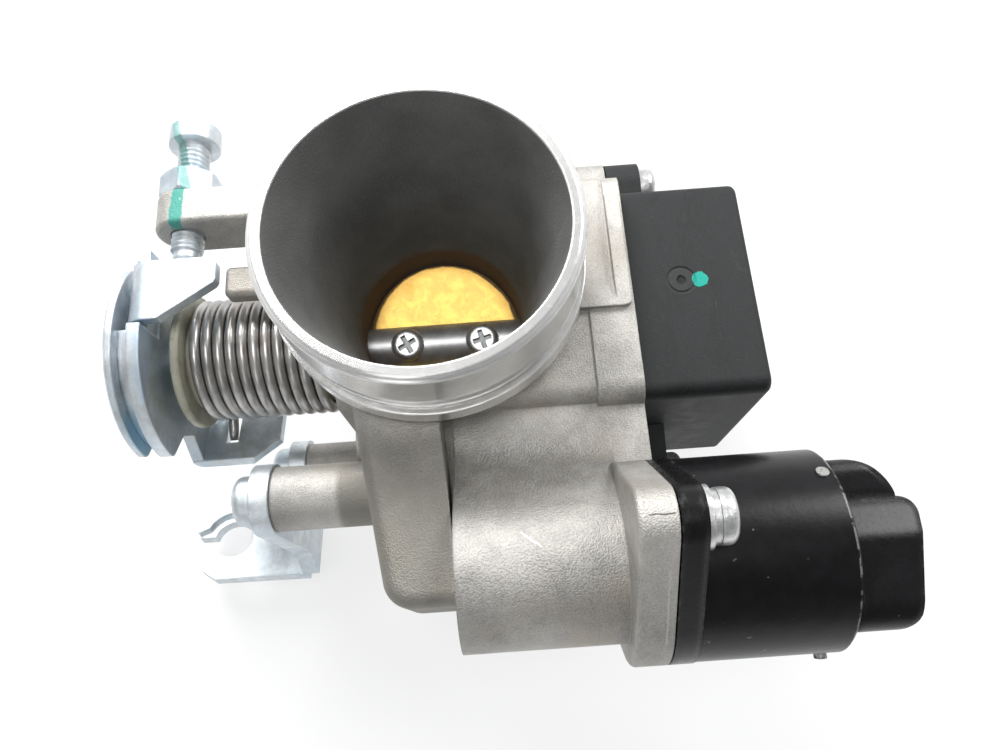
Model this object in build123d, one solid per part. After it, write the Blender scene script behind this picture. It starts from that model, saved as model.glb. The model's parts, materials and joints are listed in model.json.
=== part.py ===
from build123d import *

import math
import os

# Cable-operated throttle body for a small injected motorcycle engine.
# Millimetres.  X runs along the throttle shaft towards the position sensor,
# Z runs up the bore from the engine face (z = 0) to the air-inlet rim.

# ---- driving dimensions -------------------------------------------------
BORE_R = 15.0            # 30 mm throttle bore
MOUTH_R = 22.1           # inside of the inlet rim
RIM_R = 24.5             # outside of the inlet spigot
LIP_R = 25.1             # lower lip of the inlet spigot
MID_Z = 40.0             # casting datum above the engine face
SHAFT_Z = 39.2           # shaft axis above the engine face
SHAFT_Y = -0.4           # the shaft sits this far off the bore axis
RIM_H = 46.2             # rim above the datum
THROAT_H = 8.9           # where the cone meets the straight bore
LIP_H = 28.8             # underside of the lip above the datum
GROOVE_H = 33.0          # foot of the clamp groove above the datum
GROOVE_W = 4.3           # width of the clamp groove
TUBE_R = 19.0            # cast tube round the bore
SPIGOT_R = 18.5          # engine-side spigot
SPIGOT_L = 12.5          # length of the engine-side spigot
NECK_R = 17.7            # foot of the clamp groove on the spigot
NECK_H = (4.0, 8.0)      # clamp groove above the engine face
TUBE_RISE = 1.9          # shoulder of the tube over the spigot

SHAFT_R = 4.0            # 8 mm shaft
PLATE_T = 1.5            # throttle plate thickness
PLATE_SHUT = 8.0         # angle at which the plate rim meets the bore
PLATE_REST = 16.0        # plate angle on the idle stop
PLATE_SCREW_DX = 14.5    # spacing of the two plate screws
PLATE_HEAD_R = 3.1       # head radius of the plate screws
PLATE_HEAD_H = 2.0       # head height of the plate screws

DRUM_IN_X = -54.4        # outer face of the inner drum plate
DRUM_IN_T = 2.3          # inner drum plate thickness
DRUM_OUT_X = -58.6       # outer face of the outer drum plate
DRUM_OUT_T = 1.6         # outer drum plate thickness
DRUM_R = 19.8            # radius of both drum plates
CABLE_R = 17.4           # floor of the cable groove
HUB_R = 5.8              # drum hub
HUB_PROUD = 0.4          # the hub stands proud of the outer plate
SHAFT_END_X = -65.5      # left end of the thread on the shaft
TAB_X1 = -39.4           # right end of the stop tab
TAB_H = 18.6             # top of the stop tab above the datum
TAB_JOG = 1.4            # the plate jogs outwards below the stop tab's bend
TOOTH = (12.9, 15.0)     # sheared tooth of the drum plate behind the stop tab
TOOTH_DROP = 1.5         # the tooth ends this far below the stop tab's top
BUSH_X = -49.8           # outer face of the outer spring bush
BUSH_R = 13.1            # flange radius of the spring bushes
BUSH_HUB_R = 9.4         # hub radius inside the spring
SPRING_R = 10.9          # spring centre-line radius
WIRE_R = 1.05            # spring wire radius
SPRING_PITCH = 2.2       # pitch of the coils
SPRING_X0 = -46.9        # first coil
PAD_X = -18.6            # machined pad that carries the inner bush
BUSH_SPLIT = -34.7       # where the two spring bushes meet
BUSH_FLANGE_T = 1.5      # flange of the inner bush
BOSS_X0 = -34.0          # left end of the shaft's bearing boss
BOSS_R = 7.2             # bearing boss
POCKET_R = 6.0           # pocket of the bearing bush and its seal

STOP_X = -45.8           # idle-stop screw axis
STOP_Z = 16.2            # idle-stop screw axis above the datum
ARM_Y0 = 17.8            # front face of the stop arm
ARM_Y1 = 24.9            # back face of the stop arm
ARM_R = 5.7              # half height of the stop arm
TAB_Y = 12.1             # far edge of the drum stop tab
STOP_TIP_Y = 12.4        # tip of the idle-stop screw
STOP_HEAD_Y = 37.0       # underside of the idle-stop screw head
M6_R = 3.0               # 6 mm thread
M6_AF = 10.0             # across flats of the 6 mm nuts
M6_NUT_T = 5.0           # thickness of the 6 mm nuts

BOX_X1 = 33.4            # right face of the casting
BOX_FRONT = -21.5        # front of the shaft housing
BOX_BACK = 20.5          # back of the shaft housing
BOX_TOP = 23.5           # top of the shaft housing above the datum
BOX_BOTTOM = -19.5       # bottom of the shaft housing
SHELF_TOP = 20.8         # flat in front of the shaft housing
RIB_FLOOR = 0.5          # the floor inside the rib lies this far below the housing's top

VALVE_Y = -46.7          # idle-air valve axis
VALVE_H = 19.9           # idle-air valve axis above the datum
VALVE_BOSS_R = 11.9      # cast boss round the valve
VALVE_BOSS_X0 = 2.0      # left end of the cast boss
FLANGE_X0 = 26.3         # cast valve flange, left face
FLANGE_X1 = 31.6         # cast valve flange, right face
FLANGE_R = 15.2          # round middle of the valve flange
VALVE_EAR = 19.7         # valve screws from the valve axis
VALVE_EAR_R = 4.6        # ear round each valve screw
VALVE_EAR_LEAN = 9.0     # the screws lean this far off the vertical, degrees
CAN_R = 15.05            # valve can radius
CAN_X0 = 35.4            # valve can, left end
CAN_X1 = 57.1            # valve can, right end
CONN_X1 = 65.4           # valve connector, right end at the front
CONN_FLARE = 4.0         # the right end runs out this much towards the back
CONN_HALF = 9.3          # half width of the connector block
CONN_TOP = 10.2          # top of the block above the valve axis
CONN_DROP = 11.5         # underside of the block below the valve axis
LOBE_X1 = 66.6           # lobe behind the socket block, right end
LOBE_Y = -34.6           # back of the lobe
CONN_Y = -49.9           # middle of the connector socket
PIN_Y = (-5.1, -1.7, 1.7, 5.1)  # terminals across the socket
SEAL_GROOVE = (27.4, 30.4)  # groove of the valve's radial seal along X
SEAL_R = 8.9             # floor of that groove

SENSOR_X0 = 33.7         # sensor box, left face
SENSOR_X1 = 55.9         # sensor box, right face
SENSOR_HALF = 20.2       # half width of the sensor box
SENSOR_TOP = 18.2        # top of the sensor box above the datum
SENSOR_BOTTOM = -23.2    # bottom of the sensor box
EAR_Y = 27.8             # sensor screws off the shaft axis
EAR_RISE = 6.2           # back screw above the datum, front screw below it
EAR_T = 6.5              # thickness of the sensor's ears

DUCT_FRONT = -51.8       # front end of the bypass duct
DUCT_TOP = 27.3          # top of the bypass duct above the shaft
POST1 = (-29.5, 1.3)     # bracket post 1, Y and height from the datum
POST2 = (-18.3, -22.5)   # bracket post 2
POST1_R = 5.9
POST2_R = 5.2
POST_X = -32.05          # end face of both posts
BRACKET_T = 3.6          # cable bracket thickness
SHELF_T = 2.55           # thickness of its shelf
SHELF_TILT = 17.0        # the cable shelf leans across the cable line
SHELF_Y, SHELF_Z = -29.7, -33.0  # reference point of the shelf
CABLE_X = -52.2          # cable hole along the shaft
CABLE_V = 1.2            # cable hole up the slope of the shelf
CABLE_HOLE_R = 4.2       # 8 mm cable adjuster, clear

FIT = 0.05               # radial play of a running or push fit
GAP = 0.3                # air between bodies that pass each other
SEAT = 0.02              # between faces that bear on each other

SPRING_X1 = PAD_X - 0.1 - BUSH_FLANGE_T - WIRE_R - 0.35
SPRING_TURNS = (SPRING_X1 - SPRING_X0) / SPRING_PITCH
PLATE_HOLE_PITCH = (PLATE_SCREW_DX / 2, -PLATE_SCREW_DX / 2)
PLATE_SEAT = SHAFT_R - 0.9   # height of the flats under the plate screws
RIM_Z = MID_Z + RIM_H
VALVE_Z = MID_Z + VALVE_H


# ---- helpers ------------------------------------------------------------
def along_x(sketch, x0, x1):
    "Extrude a sketch drawn in (Y, Z) from x0 to x1."
    return extrude(Plane.YZ.offset(x0) * sketch, x1 - x0)


def along_y(sketch, y0, y1):
    "Extrude a sketch drawn in (X, Z) from y0 to y1."
    return extrude(Plane.XZ.offset(-y1) * sketch, y1 - y0)


def along_z(sketch, z0, z1):
    "Extrude a sketch drawn in (X, Y) from z0 to z1."
    return extrude(Plane.XY.offset(z0) * sketch, z1 - z0)


def rod_x(x0, x1, r, y=SHAFT_Y, z=SHAFT_Z):
    return along_x(Pos(y, z) * Circle(r), x0, x1)


def rod_y(y0, y1, r, x, z):
    return along_y(Pos(x, z) * Circle(r), y0, y1)


def rod_between(a, b, r):
    "Round bar from point a to point b."
    a, b = Vector(*a), Vector(*b)
    plane = Plane(origin=a, z_dir=b - a)
    return extrude(plane * Circle(r), (b - a).length)


def poly(points):
    return make_face(Polyline(*points, close=True))


def slab(y0, y1, z0, z1, r=0.0):
    "Rectangle in a sketch plane, corners rounded by r."
    w, h = y1 - y0, z1 - z0
    shape = RectangleRounded(w, h, r) if r else Rectangle(w, h)
    return Pos((y0 + y1) / 2, (z0 + z1) / 2) * shape


def one(shape):
    "The single solid of a boolean result."
    solids = shape.solids()
    return max(solids, key=lambda s: s.volume)


def edges_at(shape, axis, value, tol=0.05):
    "Edges whose centre lies at one coordinate."
    pick = {"x": 0, "y": 1, "z": 2}[axis]
    return [e for e in shape.edges()
            if abs(tuple(e.center())[pick] - value) < tol]


def pan_head_x(x, side, r, h, y, z, recess=0.0):
    "Domed screw head on the X axis, seated at x, pointing to side (+1 or -1)."
    head = rod_x(min(x, x + side * h), max(x, x + side * h), r, y, z)
    rim = edges_at(head, "x", x + side * h)
    head = fillet(rim, h * 0.45)
    if recess:
        tip = x + side * h
        for a in (20, 110):
            bar = Rot(0, 0, a) * Rectangle(r * 1.1, r * 0.26)
            lo, hi = sorted((tip + side * 0.2, tip - side * recess))
            head -= along_x(Pos(y, z) * bar, lo, hi)
    return head


def hexagon(af, x0, x1, y, z, turn=0.0):
    body = along_x(Pos(y, z) * Rot(0, 0, turn) * RegularPolygon(af / 2, 6, major_radius=False), x0, x1)
    return body


# ---- housing ------------------------------------------------------------
def bore_cutter():
    "Air passage: straight bore, then a cone that flares to the mouth."
    throat = MID_Z + THROAT_H
    mid = ((BORE_R + MOUTH_R) / 2 - 0.35, (throat + RIM_Z) / 2)
    wall = ThreePointArc((BORE_R, throat), mid, (MOUTH_R - 0.15, RIM_Z - 1.2))
    lead = Line((MOUTH_R - 0.15, RIM_Z - 1.2), (MOUTH_R + 0.3, RIM_Z + 0.5))
    rest = Polyline((MOUTH_R + 0.3, RIM_Z + 0.5), (0, RIM_Z + 0.5), (0, -1), (BORE_R, -1), (BORE_R, throat))
    return revolve(Plane.XZ * make_face([wall, lead, rest]), Axis.Z)


def tube():
    "Outside of the tube: engine spigot with its groove, body, lip, groove, rim."
    lip = MID_Z + LIP_H
    g0 = MID_Z + GROOVE_H
    g1 = g0 + GROOVE_W
    mid = (g0 + g1) / 2
    n0, n1 = NECK_H
    shoulder = SPIGOT_R + TUBE_RISE
    pts = [
        (BORE_R - 2, 0), (SPIGOT_R, 0), (SPIGOT_R, n0), (NECK_R, n0 + 0.4),
        (NECK_R, n1 - 0.4), (SPIGOT_R, n1), (SPIGOT_R, SPIGOT_L),
        (shoulder, SPIGOT_L), (shoulder, SPIGOT_L + 2.4), (TUBE_R, SPIGOT_L + 4.2),
        (TUBE_R, MID_Z + 12.0), (MOUTH_R + 0.6, lip - 1.0), (LIP_R - 0.7, lip), (LIP_R, lip + 0.8),
        (LIP_R, g0), (RIM_R - 0.5, g0), (RIM_R - 0.5, mid - 0.35), (RIM_R - 0.05, mid - 0.1),
        (RIM_R - 0.05, mid + 0.5), (RIM_R - 0.5, mid + 0.75), (RIM_R - 0.5, g1), (RIM_R, g1 + 0.25),
        (RIM_R, RIM_Z - 0.9), (RIM_R - 0.9, RIM_Z), (BORE_R - 2, RIM_Z),
    ]
    return revolve(Plane.XZ * poly(pts), Axis.Z)


def shaft_housing():
    "Block on the sensor side that carries the shaft and the sensor."
    outline = slab(BOX_FRONT, BOX_BACK, MID_Z + BOX_BOTTOM, MID_Z + BOX_TOP, 3.4)
    block = along_x(outline, 0, BOX_X1)
    # the sensor end stands proud by one parting-line step
    collar = slab(BOX_FRONT - 0.5, BOX_BACK, MID_Z + BOX_BOTTOM, MID_Z + BOX_TOP + 0.35, 3.4)
    block += along_x(collar, BOX_X1 - 7.6, BOX_X1)
    rib, floor = rib_on_top()
    return block + rib - floor + along_x(sensor_ears(5.2), BOX_X1 - 5.2, BOX_X1)


def sensor_holes():
    return [(SHAFT_Y + side * EAR_Y, MID_Z + side * EAR_RISE) for side in (1, -1)]


def sensor_ears(r):
    "Outline of the two screw ears and the strap that joins them."
    ears = sensor_holes()
    tilt = math.atan2(EAR_RISE, EAR_Y)
    n = (-math.sin(tilt) * r, math.cos(tilt) * r)
    strap = poly([(y + s * n[0], z + s * n[1]) for y, z, s in
                  [(*ears[0], 1), (*ears[0], -1), (*ears[1], -1), (*ears[1], 1)]])
    for y, z in ears:
        strap += Pos(y, z) * Circle(r)
    return strap


def rib_on_top():
    "Raised rib on the shaft housing: a side arm, and a front arm that ramps down to the floor behind it."
    top = MID_Z + BOX_TOP
    x1, y0, y1 = 33.0, -6.0, 15.2
    rib = along_z(slab(x1 - 21, x1, y0, y1, 1.2), top - 1.0, top + 1.3)
    ramp = poly([(y0 + 1.2, top + 1.3), (y0 + 5.2, top - RIB_FLOOR), (BOX_BACK + 1, top - RIB_FLOOR),
                 (BOX_BACK + 1, top + 3), (y0 + 1.2, top + 3)])
    return rib, along_x(ramp, x1 - 22, x1 - 2.5)


def valve_boss():
    "Cast boss of the idle-air valve, faired into the shaft housing."
    cy, cz, r = VALVE_Y, VALVE_Z, VALVE_BOSS_R
    a, b = math.radians(50), math.radians(-62)
    t1 = (cy + r * math.cos(a), cz + r * math.sin(a))
    t2 = (cy + r * math.cos(b), cz + r * math.sin(b))
    flat = MID_Z + SHELF_TOP
    run = t1[0] + (t1[1] - flat) / math.tan(math.radians(90 - 50))
    pts = [(-8, flat), (run, flat), t1, (cy, cz), t2, (-8, MID_Z - 9.0)]
    face = poly(pts)
    crease = [v for v in face.vertices() if abs(v.X - run) < 0.01 and abs(v.Y - flat) < 0.01]
    face = fillet(crease, 7.0)
    body = along_x(face + Pos(cy, cz) * Circle(r), VALVE_BOSS_X0, FLANGE_X0 + 1.0)
    # flat continues to the sensor face behind the valve flange
    step = poly([(-8, flat), (-31.5, flat), (-31.5, flat - 9), (BOX_FRONT, MID_Z - 6), (-8, MID_Z - 6)])
    return body + along_x(step, VALVE_BOSS_X0, BOX_X1)


def valve_ears():
    lean = math.radians(VALVE_EAR_LEAN)
    return [(VALVE_Y + side * VALVE_EAR * math.sin(lean), VALVE_Z + side * VALVE_EAR * math.cos(lean))
            for side in (1, -1)]


def flange_outline(ear_r, core_r):
    "Valve flange: round middle drawn out to an ear above and an ear below."
    shape = Pos(VALVE_Y, VALVE_Z) * Circle(core_r)
    lean = math.radians(90 - VALVE_EAR_LEAN)
    half = math.acos((core_r - ear_r) / VALVE_EAR)
    for side, (ey, ez) in zip((0, math.pi), valve_ears()):
        a1, a2 = lean + side + half, lean + side - half
        shape += poly([(VALVE_Y + core_r * math.cos(a1), VALVE_Z + core_r * math.sin(a1)),
                       (ey + ear_r * math.cos(a1), ez + ear_r * math.sin(a1)),
                       (ey + ear_r * math.cos(a2), ez + ear_r * math.sin(a2)),
                       (VALVE_Y + core_r * math.cos(a2), VALVE_Z + core_r * math.sin(a2)),
                       (VALVE_Y, VALVE_Z)])
        shape += Pos(ey, ez) * Circle(ear_r)
    return shape


def bypass_duct():
    "Tapered duct that leaves the inlet and runs forward to the valve."
    plan = poly([(-14.2, -12), (0.0, -12), (0.2, -20), (VALVE_BOSS_X0 + 0.2, -48),
                 (VALVE_BOSS_X0 + 0.2, DUCT_FRONT), (-8.4, DUCT_FRONT), (-13.4, -20)])
    top = MID_Z + DUCT_TOP
    side = poly([(-12, top + 0.9), (-30, top + 0.6), (DUCT_FRONT - 1, top - 0.6), (DUCT_FRONT - 1, MID_Z + 12),
                 (-37, MID_Z - 8), (-12, MID_Z - 8)])
    duct = along_z(plan, MID_Z - 9, top + 2) & along_x(side, -20, 6)
    corner = [e for e in duct.edges().filter_by(Axis.Z) if abs(e.center().X + 8.4) < 0.1
              and abs(e.center().Y - DUCT_FRONT) < 0.1]
    duct = fillet(corner, 4.4)
    front = [e for e in duct.edges() if e.center().Z > top - 2
             and (abs(e.center().Y - DUCT_FRONT) < 0.4 or e.center().X < -8.0)]
    return fillet(front, 2.4)


def shaft_side():
    "Left flank: bearing boss, spring seat and lug beside the spring."
    pad = along_x(slab(-16.5, 17.5, MID_Z - 14, MID_Z + 15.5, 4.5), PAD_X, 0)
    pad += along_x(slab(-24.0, 6.0, MID_Z - 27, MID_Z + 3, 4.0), PAD_X + 1.2, 0)
    boss = rod_x(BOSS_X0, -10, BOSS_R)
    lug = along_x(slab(5.3, 11.2, MID_Z + 12.2, MID_Z + 16.2, 1.1), -38.6, -10)
    lug = fillet(edges_at(lug, "x", -38.6), 0.9)
    return pad + boss + lug


def stop_arm():
    "Arm that holds the idle-stop screw."
    z = MID_Z + STOP_Z
    face = Pos(STOP_X, z) * Circle(ARM_R) + slab(STOP_X, -2, z - ARM_R, z + ARM_R)
    arm = along_y(face, ARM_Y0, ARM_Y1)
    web = along_z(poly([(-2, 12), (-24, 17.9), (-24, ARM_Y1), (-2, ARM_Y1)]), z - ARM_R, z + ARM_R)
    long_edges = [e for e in arm.edges().filter_by(Axis.X)]
    arm = fillet(long_edges, 0.8)
    return arm + web


def posts():
    shape = None
    for (y, h), r in ((POST1, POST1_R), (POST2, POST2_R)):
        post = rod_x(POST_X, -4, r, y, MID_Z + h)
        shape = post if shape is None else shape + post
    return shape


def throttle_housing():
    body = tube() + shaft_housing() + valve_boss() + bypass_duct() + shaft_side() + stop_arm() + posts()
    # web between the duct and the valve boss
    body += along_z(slab(-7.0, VALVE_BOSS_X0 + 1.0, -48.0, -14.0), MID_Z - 7, MID_Z + SHELF_TOP - 0.6)
    flange = fillet(along_x(flange_outline(VALVE_EAR_R, FLANGE_R), FLANGE_X0, FLANGE_X1).edges().filter_by(Axis.X, reverse=True)
                    .group_by(Axis.X)[0], 0.8)
    body += flange
    # foot that ties the shaft housing down to the engine end of the tube
    body += along_z(poly([(-12, -17), (26, -17), (30, -10), (30, 12), (20, 17), (-12, 17)]),
                    MID_Z + BOX_BOTTOM - 3.0, MID_Z + BOX_BOTTOM + 2.0)
    body -= bore_cutter()
    # shaft bore with a seal pocket at each end
    body -= rod_x(-60, BOX_X1 + 1, SHAFT_R + FIT)
    body -= rod_x(BOSS_X0 - 0.5, BOSS_X0 + 6.0, POCKET_R)
    body -= rod_x(BOX_X1 - 9.0, BOX_X1 + 1, POCKET_R)
    # sensor recess and its screw holes
    body -= rod_x(BOX_X1 - 3.0, BOX_X1 + 1, 11.0)
    for y, z in sensor_holes():
        body -= rod_x(BOX_X1 - 6.0, BOX_X1 + 1, 1.95, y, z)
    # idle-air valve: body bore, seat, chamber
    body -= rod_x(13.0, FLANGE_X1 + 1, 10.0, VALVE_Y, VALVE_Z)
    body -= rod_x(4.5, 14.0, 5.0, VALVE_Y, VALVE_Z)
    body -= rod_x(-4.0, 6.0, 4.6, VALVE_Y, VALVE_Z)
    for ey, ez in valve_ears():
        body -= rod_x(FLANGE_X0 + 1.2, FLANGE_X1 + 1, 1.95, ey, ez)
    # air runs from the inlet cone down the duct, and back below the plate
    body -= rod_between((-4.0, VALVE_Y, VALVE_Z), (-3.0, -14.0, VALVE_Z), 3.6)
    body -= rod_between((17.0, VALVE_Y + 5, VALVE_Z - 5), (5.0, -11.0, MID_Z - 11), 3.0)
    # running room round the spring bushes
    body -= rod_x(BOSS_X0 - 0.6, PAD_X, BUSH_R + GAP) - rod_x(BOSS_X0 - 1, PAD_X + 1, BOSS_R + 0.01)
    # stop screw and bracket screws
    body -= rod_y(ARM_Y0 - 1, ARM_Y1 + 1, M6_R + FIT, STOP_X, MID_Z + STOP_Z)
    for y, h in (POST1, POST2):
        body -= rod_x(POST_X - 1, POST_X + 11, 2.5 + FIT, y, MID_Z + h)
    return one(body)


# ---- shaft, plate and bearings ------------------------------------------
def throttle_shaft():
    step = DRUM_OUT_X - HUB_PROUD - 0.6
    shaft = rod_x(step, SENSOR_X0 + 1.2, SHAFT_R)
    shaft += rod_x(SHAFT_END_X, step, M6_R)
    shaft = chamfer(edges_at(shaft, "x", SHAFT_END_X), 0.6)
    # double flat for the drum
    for side in (1, -1):
        shaft -= along_x(Pos(SHAFT_Y + side * 5.1, SHAFT_Z) * Rectangle(4.0, 12), step - 1, BUSH_X + 0.8)
    # slot for the plate, screw seats and screw holes, at the rest angle
    cut = Pos(0, 0, 0) * Box(2 * BORE_R + 0.2, 20, PLATE_T + 0.1)
    for x in PLATE_HOLE_PITCH:
        cut += along_z(Pos(x, 0) * Circle(PLATE_HEAD_R + 0.05), PLATE_SEAT, 9)
        cut += along_z(Pos(x, 0) * Circle(1.8), -9, 9)
    shaft -= at_rest(cut)
    # tang that drives the sensor rotor
    shaft += along_x(Pos(SHAFT_Y, SHAFT_Z) * Rectangle(5.0, 2.4), SENSOR_X0 + 1.2, SENSOR_X0 + 5.0)
    return shaft


def at_rest(shape, angle=PLATE_REST):
    "Move a shape drawn about the origin onto the shaft, turned by angle."
    return Pos(0, SHAFT_Y, SHAFT_Z) * Rot(angle, 0, 0) * shape


def throttle_plate():
    "Oval plate: its rim is ground parallel to the bore at the shut angle."
    disc = at_rest(Box(2 * BORE_R + 4, 2 * BORE_R + 8, PLATE_T), PLATE_SHUT)
    disc &= along_z(Circle(BORE_R - 0.06), SHAFT_Z - 12, SHAFT_Z + 12)
    disc = Rot(-PLATE_SHUT, 0, 0) * Pos(0, -SHAFT_Y, -SHAFT_Z) * disc
    for x in PLATE_HOLE_PITCH:
        disc -= along_z(Pos(x, 0) * Circle(1.85), -9, 9)
    return at_rest(disc)


def plate_screws():
    z0 = PLATE_SEAT + SEAT
    out = []
    for n, x in enumerate(PLATE_HOLE_PITCH):
        head = along_z(Pos(x, 0) * Circle(PLATE_HEAD_R), z0, z0 + PLATE_HEAD_H)
        head = fillet(edges_at(head, "z", z0 + PLATE_HEAD_H), 1.1)
        for a in (15 + 12 * n, 105 + 12 * n):
            bar = Rot(0, 0, a) * Rectangle(3.6, 0.9)
            head -= along_z(Pos(x, 0) * bar, z0 + 0.8, z0 + 3)
        out.append(at_rest(head + along_z(Pos(x, 0) * Circle(1.7), -SHAFT_R - 0.9, z0)))
    return Compound(children=out)


def shaft_bush(x0, x1):
    "Sintered bearing bush pressed into the housing."
    return rod_x(x0, x1, POCKET_R - FIT) - rod_x(x0 - 1, x1 + 1, SHAFT_R + FIT)


def shaft_seal(x0, x1):
    "Rubber lip seal outside the bush."
    ring = rod_x(x0, x1, POCKET_R - 0.1) - rod_x(x0 - 1, x1 + 1, SHAFT_R + 0.15)
    return ring


# ---- cable drum and spring ----------------------------------------------
def round_corners(face, points, r):
    "Fillet the corners of a face that lie at the given points."
    for y, z in points:
        near = [v for v in face.vertices() if math.hypot(v.X - y, v.Y - z) < 0.3]
        face = fillet(near, r)
    return face


def sector(tip, back):
    "Drum plate drawn about the shaft: a rim from its front tip over the top to its back corner."
    a0 = math.atan2(tip[1], tip[0])
    a1 = math.atan2(back[1], back[0])
    mid = (a0 + a1) / 2
    return ThreePointArc(tip, (DRUM_R * math.cos(mid), DRUM_R * math.sin(mid)), back)


def on_shaft(sketch):
    return Pos(SHAFT_Y, SHAFT_Z) * sketch


def rim_point(deg, r=DRUM_R):
    return (r * math.cos(math.radians(deg)), r * math.sin(math.radians(deg)))


def drum_inner_plate():
    x0, t = DRUM_IN_X, DRUM_IN_T
    tip, back = rim_point(174.5), rim_point(40)
    low = [(13.2, 9.4), (9.4, 0.5), (5.6, -5.2), (-2.4, -13.4), (-6.2, -15.9), (-15.6, -14.0), (-17.0, -12.0),
           (-13.2, -6.4), (-14.6, -1.7)]
    face = make_face([sector(tip, back), Polyline(back, *low, tip)])
    face = round_corners(face, [tip], 1.6)
    face = round_corners(face, [(-14.6, -1.7), (5.6, -5.2)], 1.0)
    plate = along_x(on_shaft(face), x0, x0 + t)
    rim = MID_Z + TAB_H
    # stop tab: the rim folds over and lies flat above the spring bush
    x1 = TAB_X1
    tab = poly([(x0 - 3, 0.4), (x1 - 10.0, 0.7), (x1 - 0.4, 6.9), (x1, 7.6), (x1, 10.9), (x1 - 1.3, TAB_Y), (x0 - 3, TAB_Y)])
    xj = x0 - TAB_JOG
    section = poly([(x0, rim - 9.0), (x0, rim - 7.6), (xj, rim - 5.4), (xj, rim), (x1, rim), (x1, rim - t),
                    (xj + t, rim - t), (xj + t, rim - 5.6), (x0 + t, rim - 7.8), (x0 + t, rim - 9.0)])
    section = round_corners(section, [(xj, rim)], 1.6 + t)
    section = round_corners(section, [(xj + t, rim - t)], 1.6)
    fold = along_y(section, 0.4, TAB_Y) & along_z(tab, rim - 10, rim + 1)
    # the plate stops below the fold, with a relief notch at each side of the bend
    plate -= along_x(slab(-0.1, TOOTH[0], rim - 7.4, rim + 9), x0 - 1, x0 + t + 1)
    plate += fold + along_x(slab(*TOOTH, rim - 8.0, rim - TOOTH_DROP), x0, x0 + t)
    # spring tab: folds the lower lobe the same way, slotted for the spring leg
    p1, p2 = (-17.6, MID_Z - 13.0), (-6.6, MID_Z - 16.4)
    d = math.hypot(p2[0] - p1[0], p2[1] - p1[1])
    n = ((p2[1] - p1[1]) / d * t, -(p2[0] - p1[0]) / d * t)
    strip = poly([p1, p2, (p2[0] + n[0], p2[1] + n[1]), (p1[0] + n[0], p1[1] + n[1])])
    lower = along_x(strip, x0, -36.8)
    plan = poly([(x0, -20), (-44.4, -20), (-36.4, -13.4), (-36.4, -2), (x0, -2)])
    lower &= along_z(plan, MID_Z - 25, MID_Z)
    bend = [e for e in lower.edges() if e.center().X < x0 + 0.1 and e.length > 8]
    low_edge = min(bend, key=lambda e: e.center().Z)
    lower = fillet([low_edge], 2.2)
    lower -= along_z(slab(SPRING_X0 - 1.3, SPRING_X0 + 1.3, -13.6, 0), MID_Z - 25, MID_Z)
    plate += lower
    plate -= rod_x(x0 - 1, x0 + t + 1, HUB_R + FIT)
    return one(plate)


def drum_outer_plate():
    x0, t = DRUM_OUT_X, DRUM_OUT_T
    tip, back = rim_point(173.5), rim_point(46)
    low = [(12.6, 7.4), (9.0, 0.2), (4.6, -6.4), (-5.0, -8.6), (-12.4, -2.6)]
    face = make_face([sector(tip, back), Polyline(back, *low, tip)])
    face = round_corners(face, [tip], 2.0)
    face = round_corners(face, [(4.6, -6.4), (-5.0, -8.6), back], 1.4)
    plate = along_x(on_shaft(face), x0, x0 + t)
    rim = [e for e in plate.edges() if e.center().X < x0 + 0.01 and e.length > 20]
    plate = chamfer(rim, 0.5)
    plate -= rod_x(x0 - 1, x0 + t + 1, HUB_R + FIT)
    return one(plate)


def drum_groove_ring():
    "Floor of the cable groove between the two plates."
    x0 = DRUM_OUT_X + DRUM_OUT_T + SEAT
    x1 = DRUM_IN_X - SEAT
    keep = poly([(-30, 3.0), (-12.5, 0.2), (-4.0, -7.4), (4.0, -6.6), (8.0, 0.6), (11.4, 7.4), (12.0, 12.4), (8.0, 30),
                 (-30, 30)])
    ring = along_x(on_shaft(Circle(CABLE_R) & keep), x0, x1)
    # room for the jog of the inner plate
    ring -= along_x(slab(-0.3, TAB_Y + 0.5, MID_Z + TAB_H - 8.2, RIM_Z), x0 - 1, x1 + 1)
    ring -= rod_x(x0 - 1, x1 + 1, HUB_R + FIT)
    return one(ring)


def drum_hub():
    hub = rod_x(DRUM_OUT_X - HUB_PROUD, BUSH_X - SEAT, HUB_R)
    inside = on_shaft(Circle(SHAFT_R + FIT) & Rectangle(6.2 + 2 * FIT, 12))
    return hub - along_x(inside, DRUM_OUT_X - 2, BUSH_X + 1)


def drum_lock_washer():
    x1 = DRUM_OUT_X - HUB_PROUD - SEAT
    return rod_x(x1 - 1.1, x1, 5.4) - rod_x(x1 - 2, x1 + 1, SHAFT_R + 0.1)


def drum_nut():
    x1 = DRUM_OUT_X - HUB_PROUD - 1.1 - 2 * SEAT - 0.2
    nut = hexagon(M6_AF, x1 - 4.6, x1, SHAFT_Y, SHAFT_Z)
    nut &= rod_x(x1 - 5, x1 + 1, M6_AF / 2 * 1.13)
    return nut - rod_x(x1 - 6, x1 + 1, M6_R + FIT)


def spring_bush_outer():
    flange = rod_x(BUSH_X, BUSH_X + 1.6, BUSH_R)
    flange = chamfer(edges_at(flange, "x", BUSH_X + 1.6) + edges_at(flange, "x", BUSH_X), 0.35)
    body = flange + rod_x(BUSH_X + 1.0, BUSH_SPLIT - GAP, BUSH_HUB_R)
    return body - rod_x(BUSH_X - 1, BUSH_SPLIT + 1, SHAFT_R + 0.1)


def spring_bush_inner():
    x1 = PAD_X - 0.1
    flange = rod_x(x1 - BUSH_FLANGE_T, x1, BUSH_R)
    body = flange + rod_x(BUSH_SPLIT + GAP, x1 - 0.8, BUSH_HUB_R)
    return body - rod_x(BUSH_SPLIT - 1, x1 + 1, BOSS_R + FIT)


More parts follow.
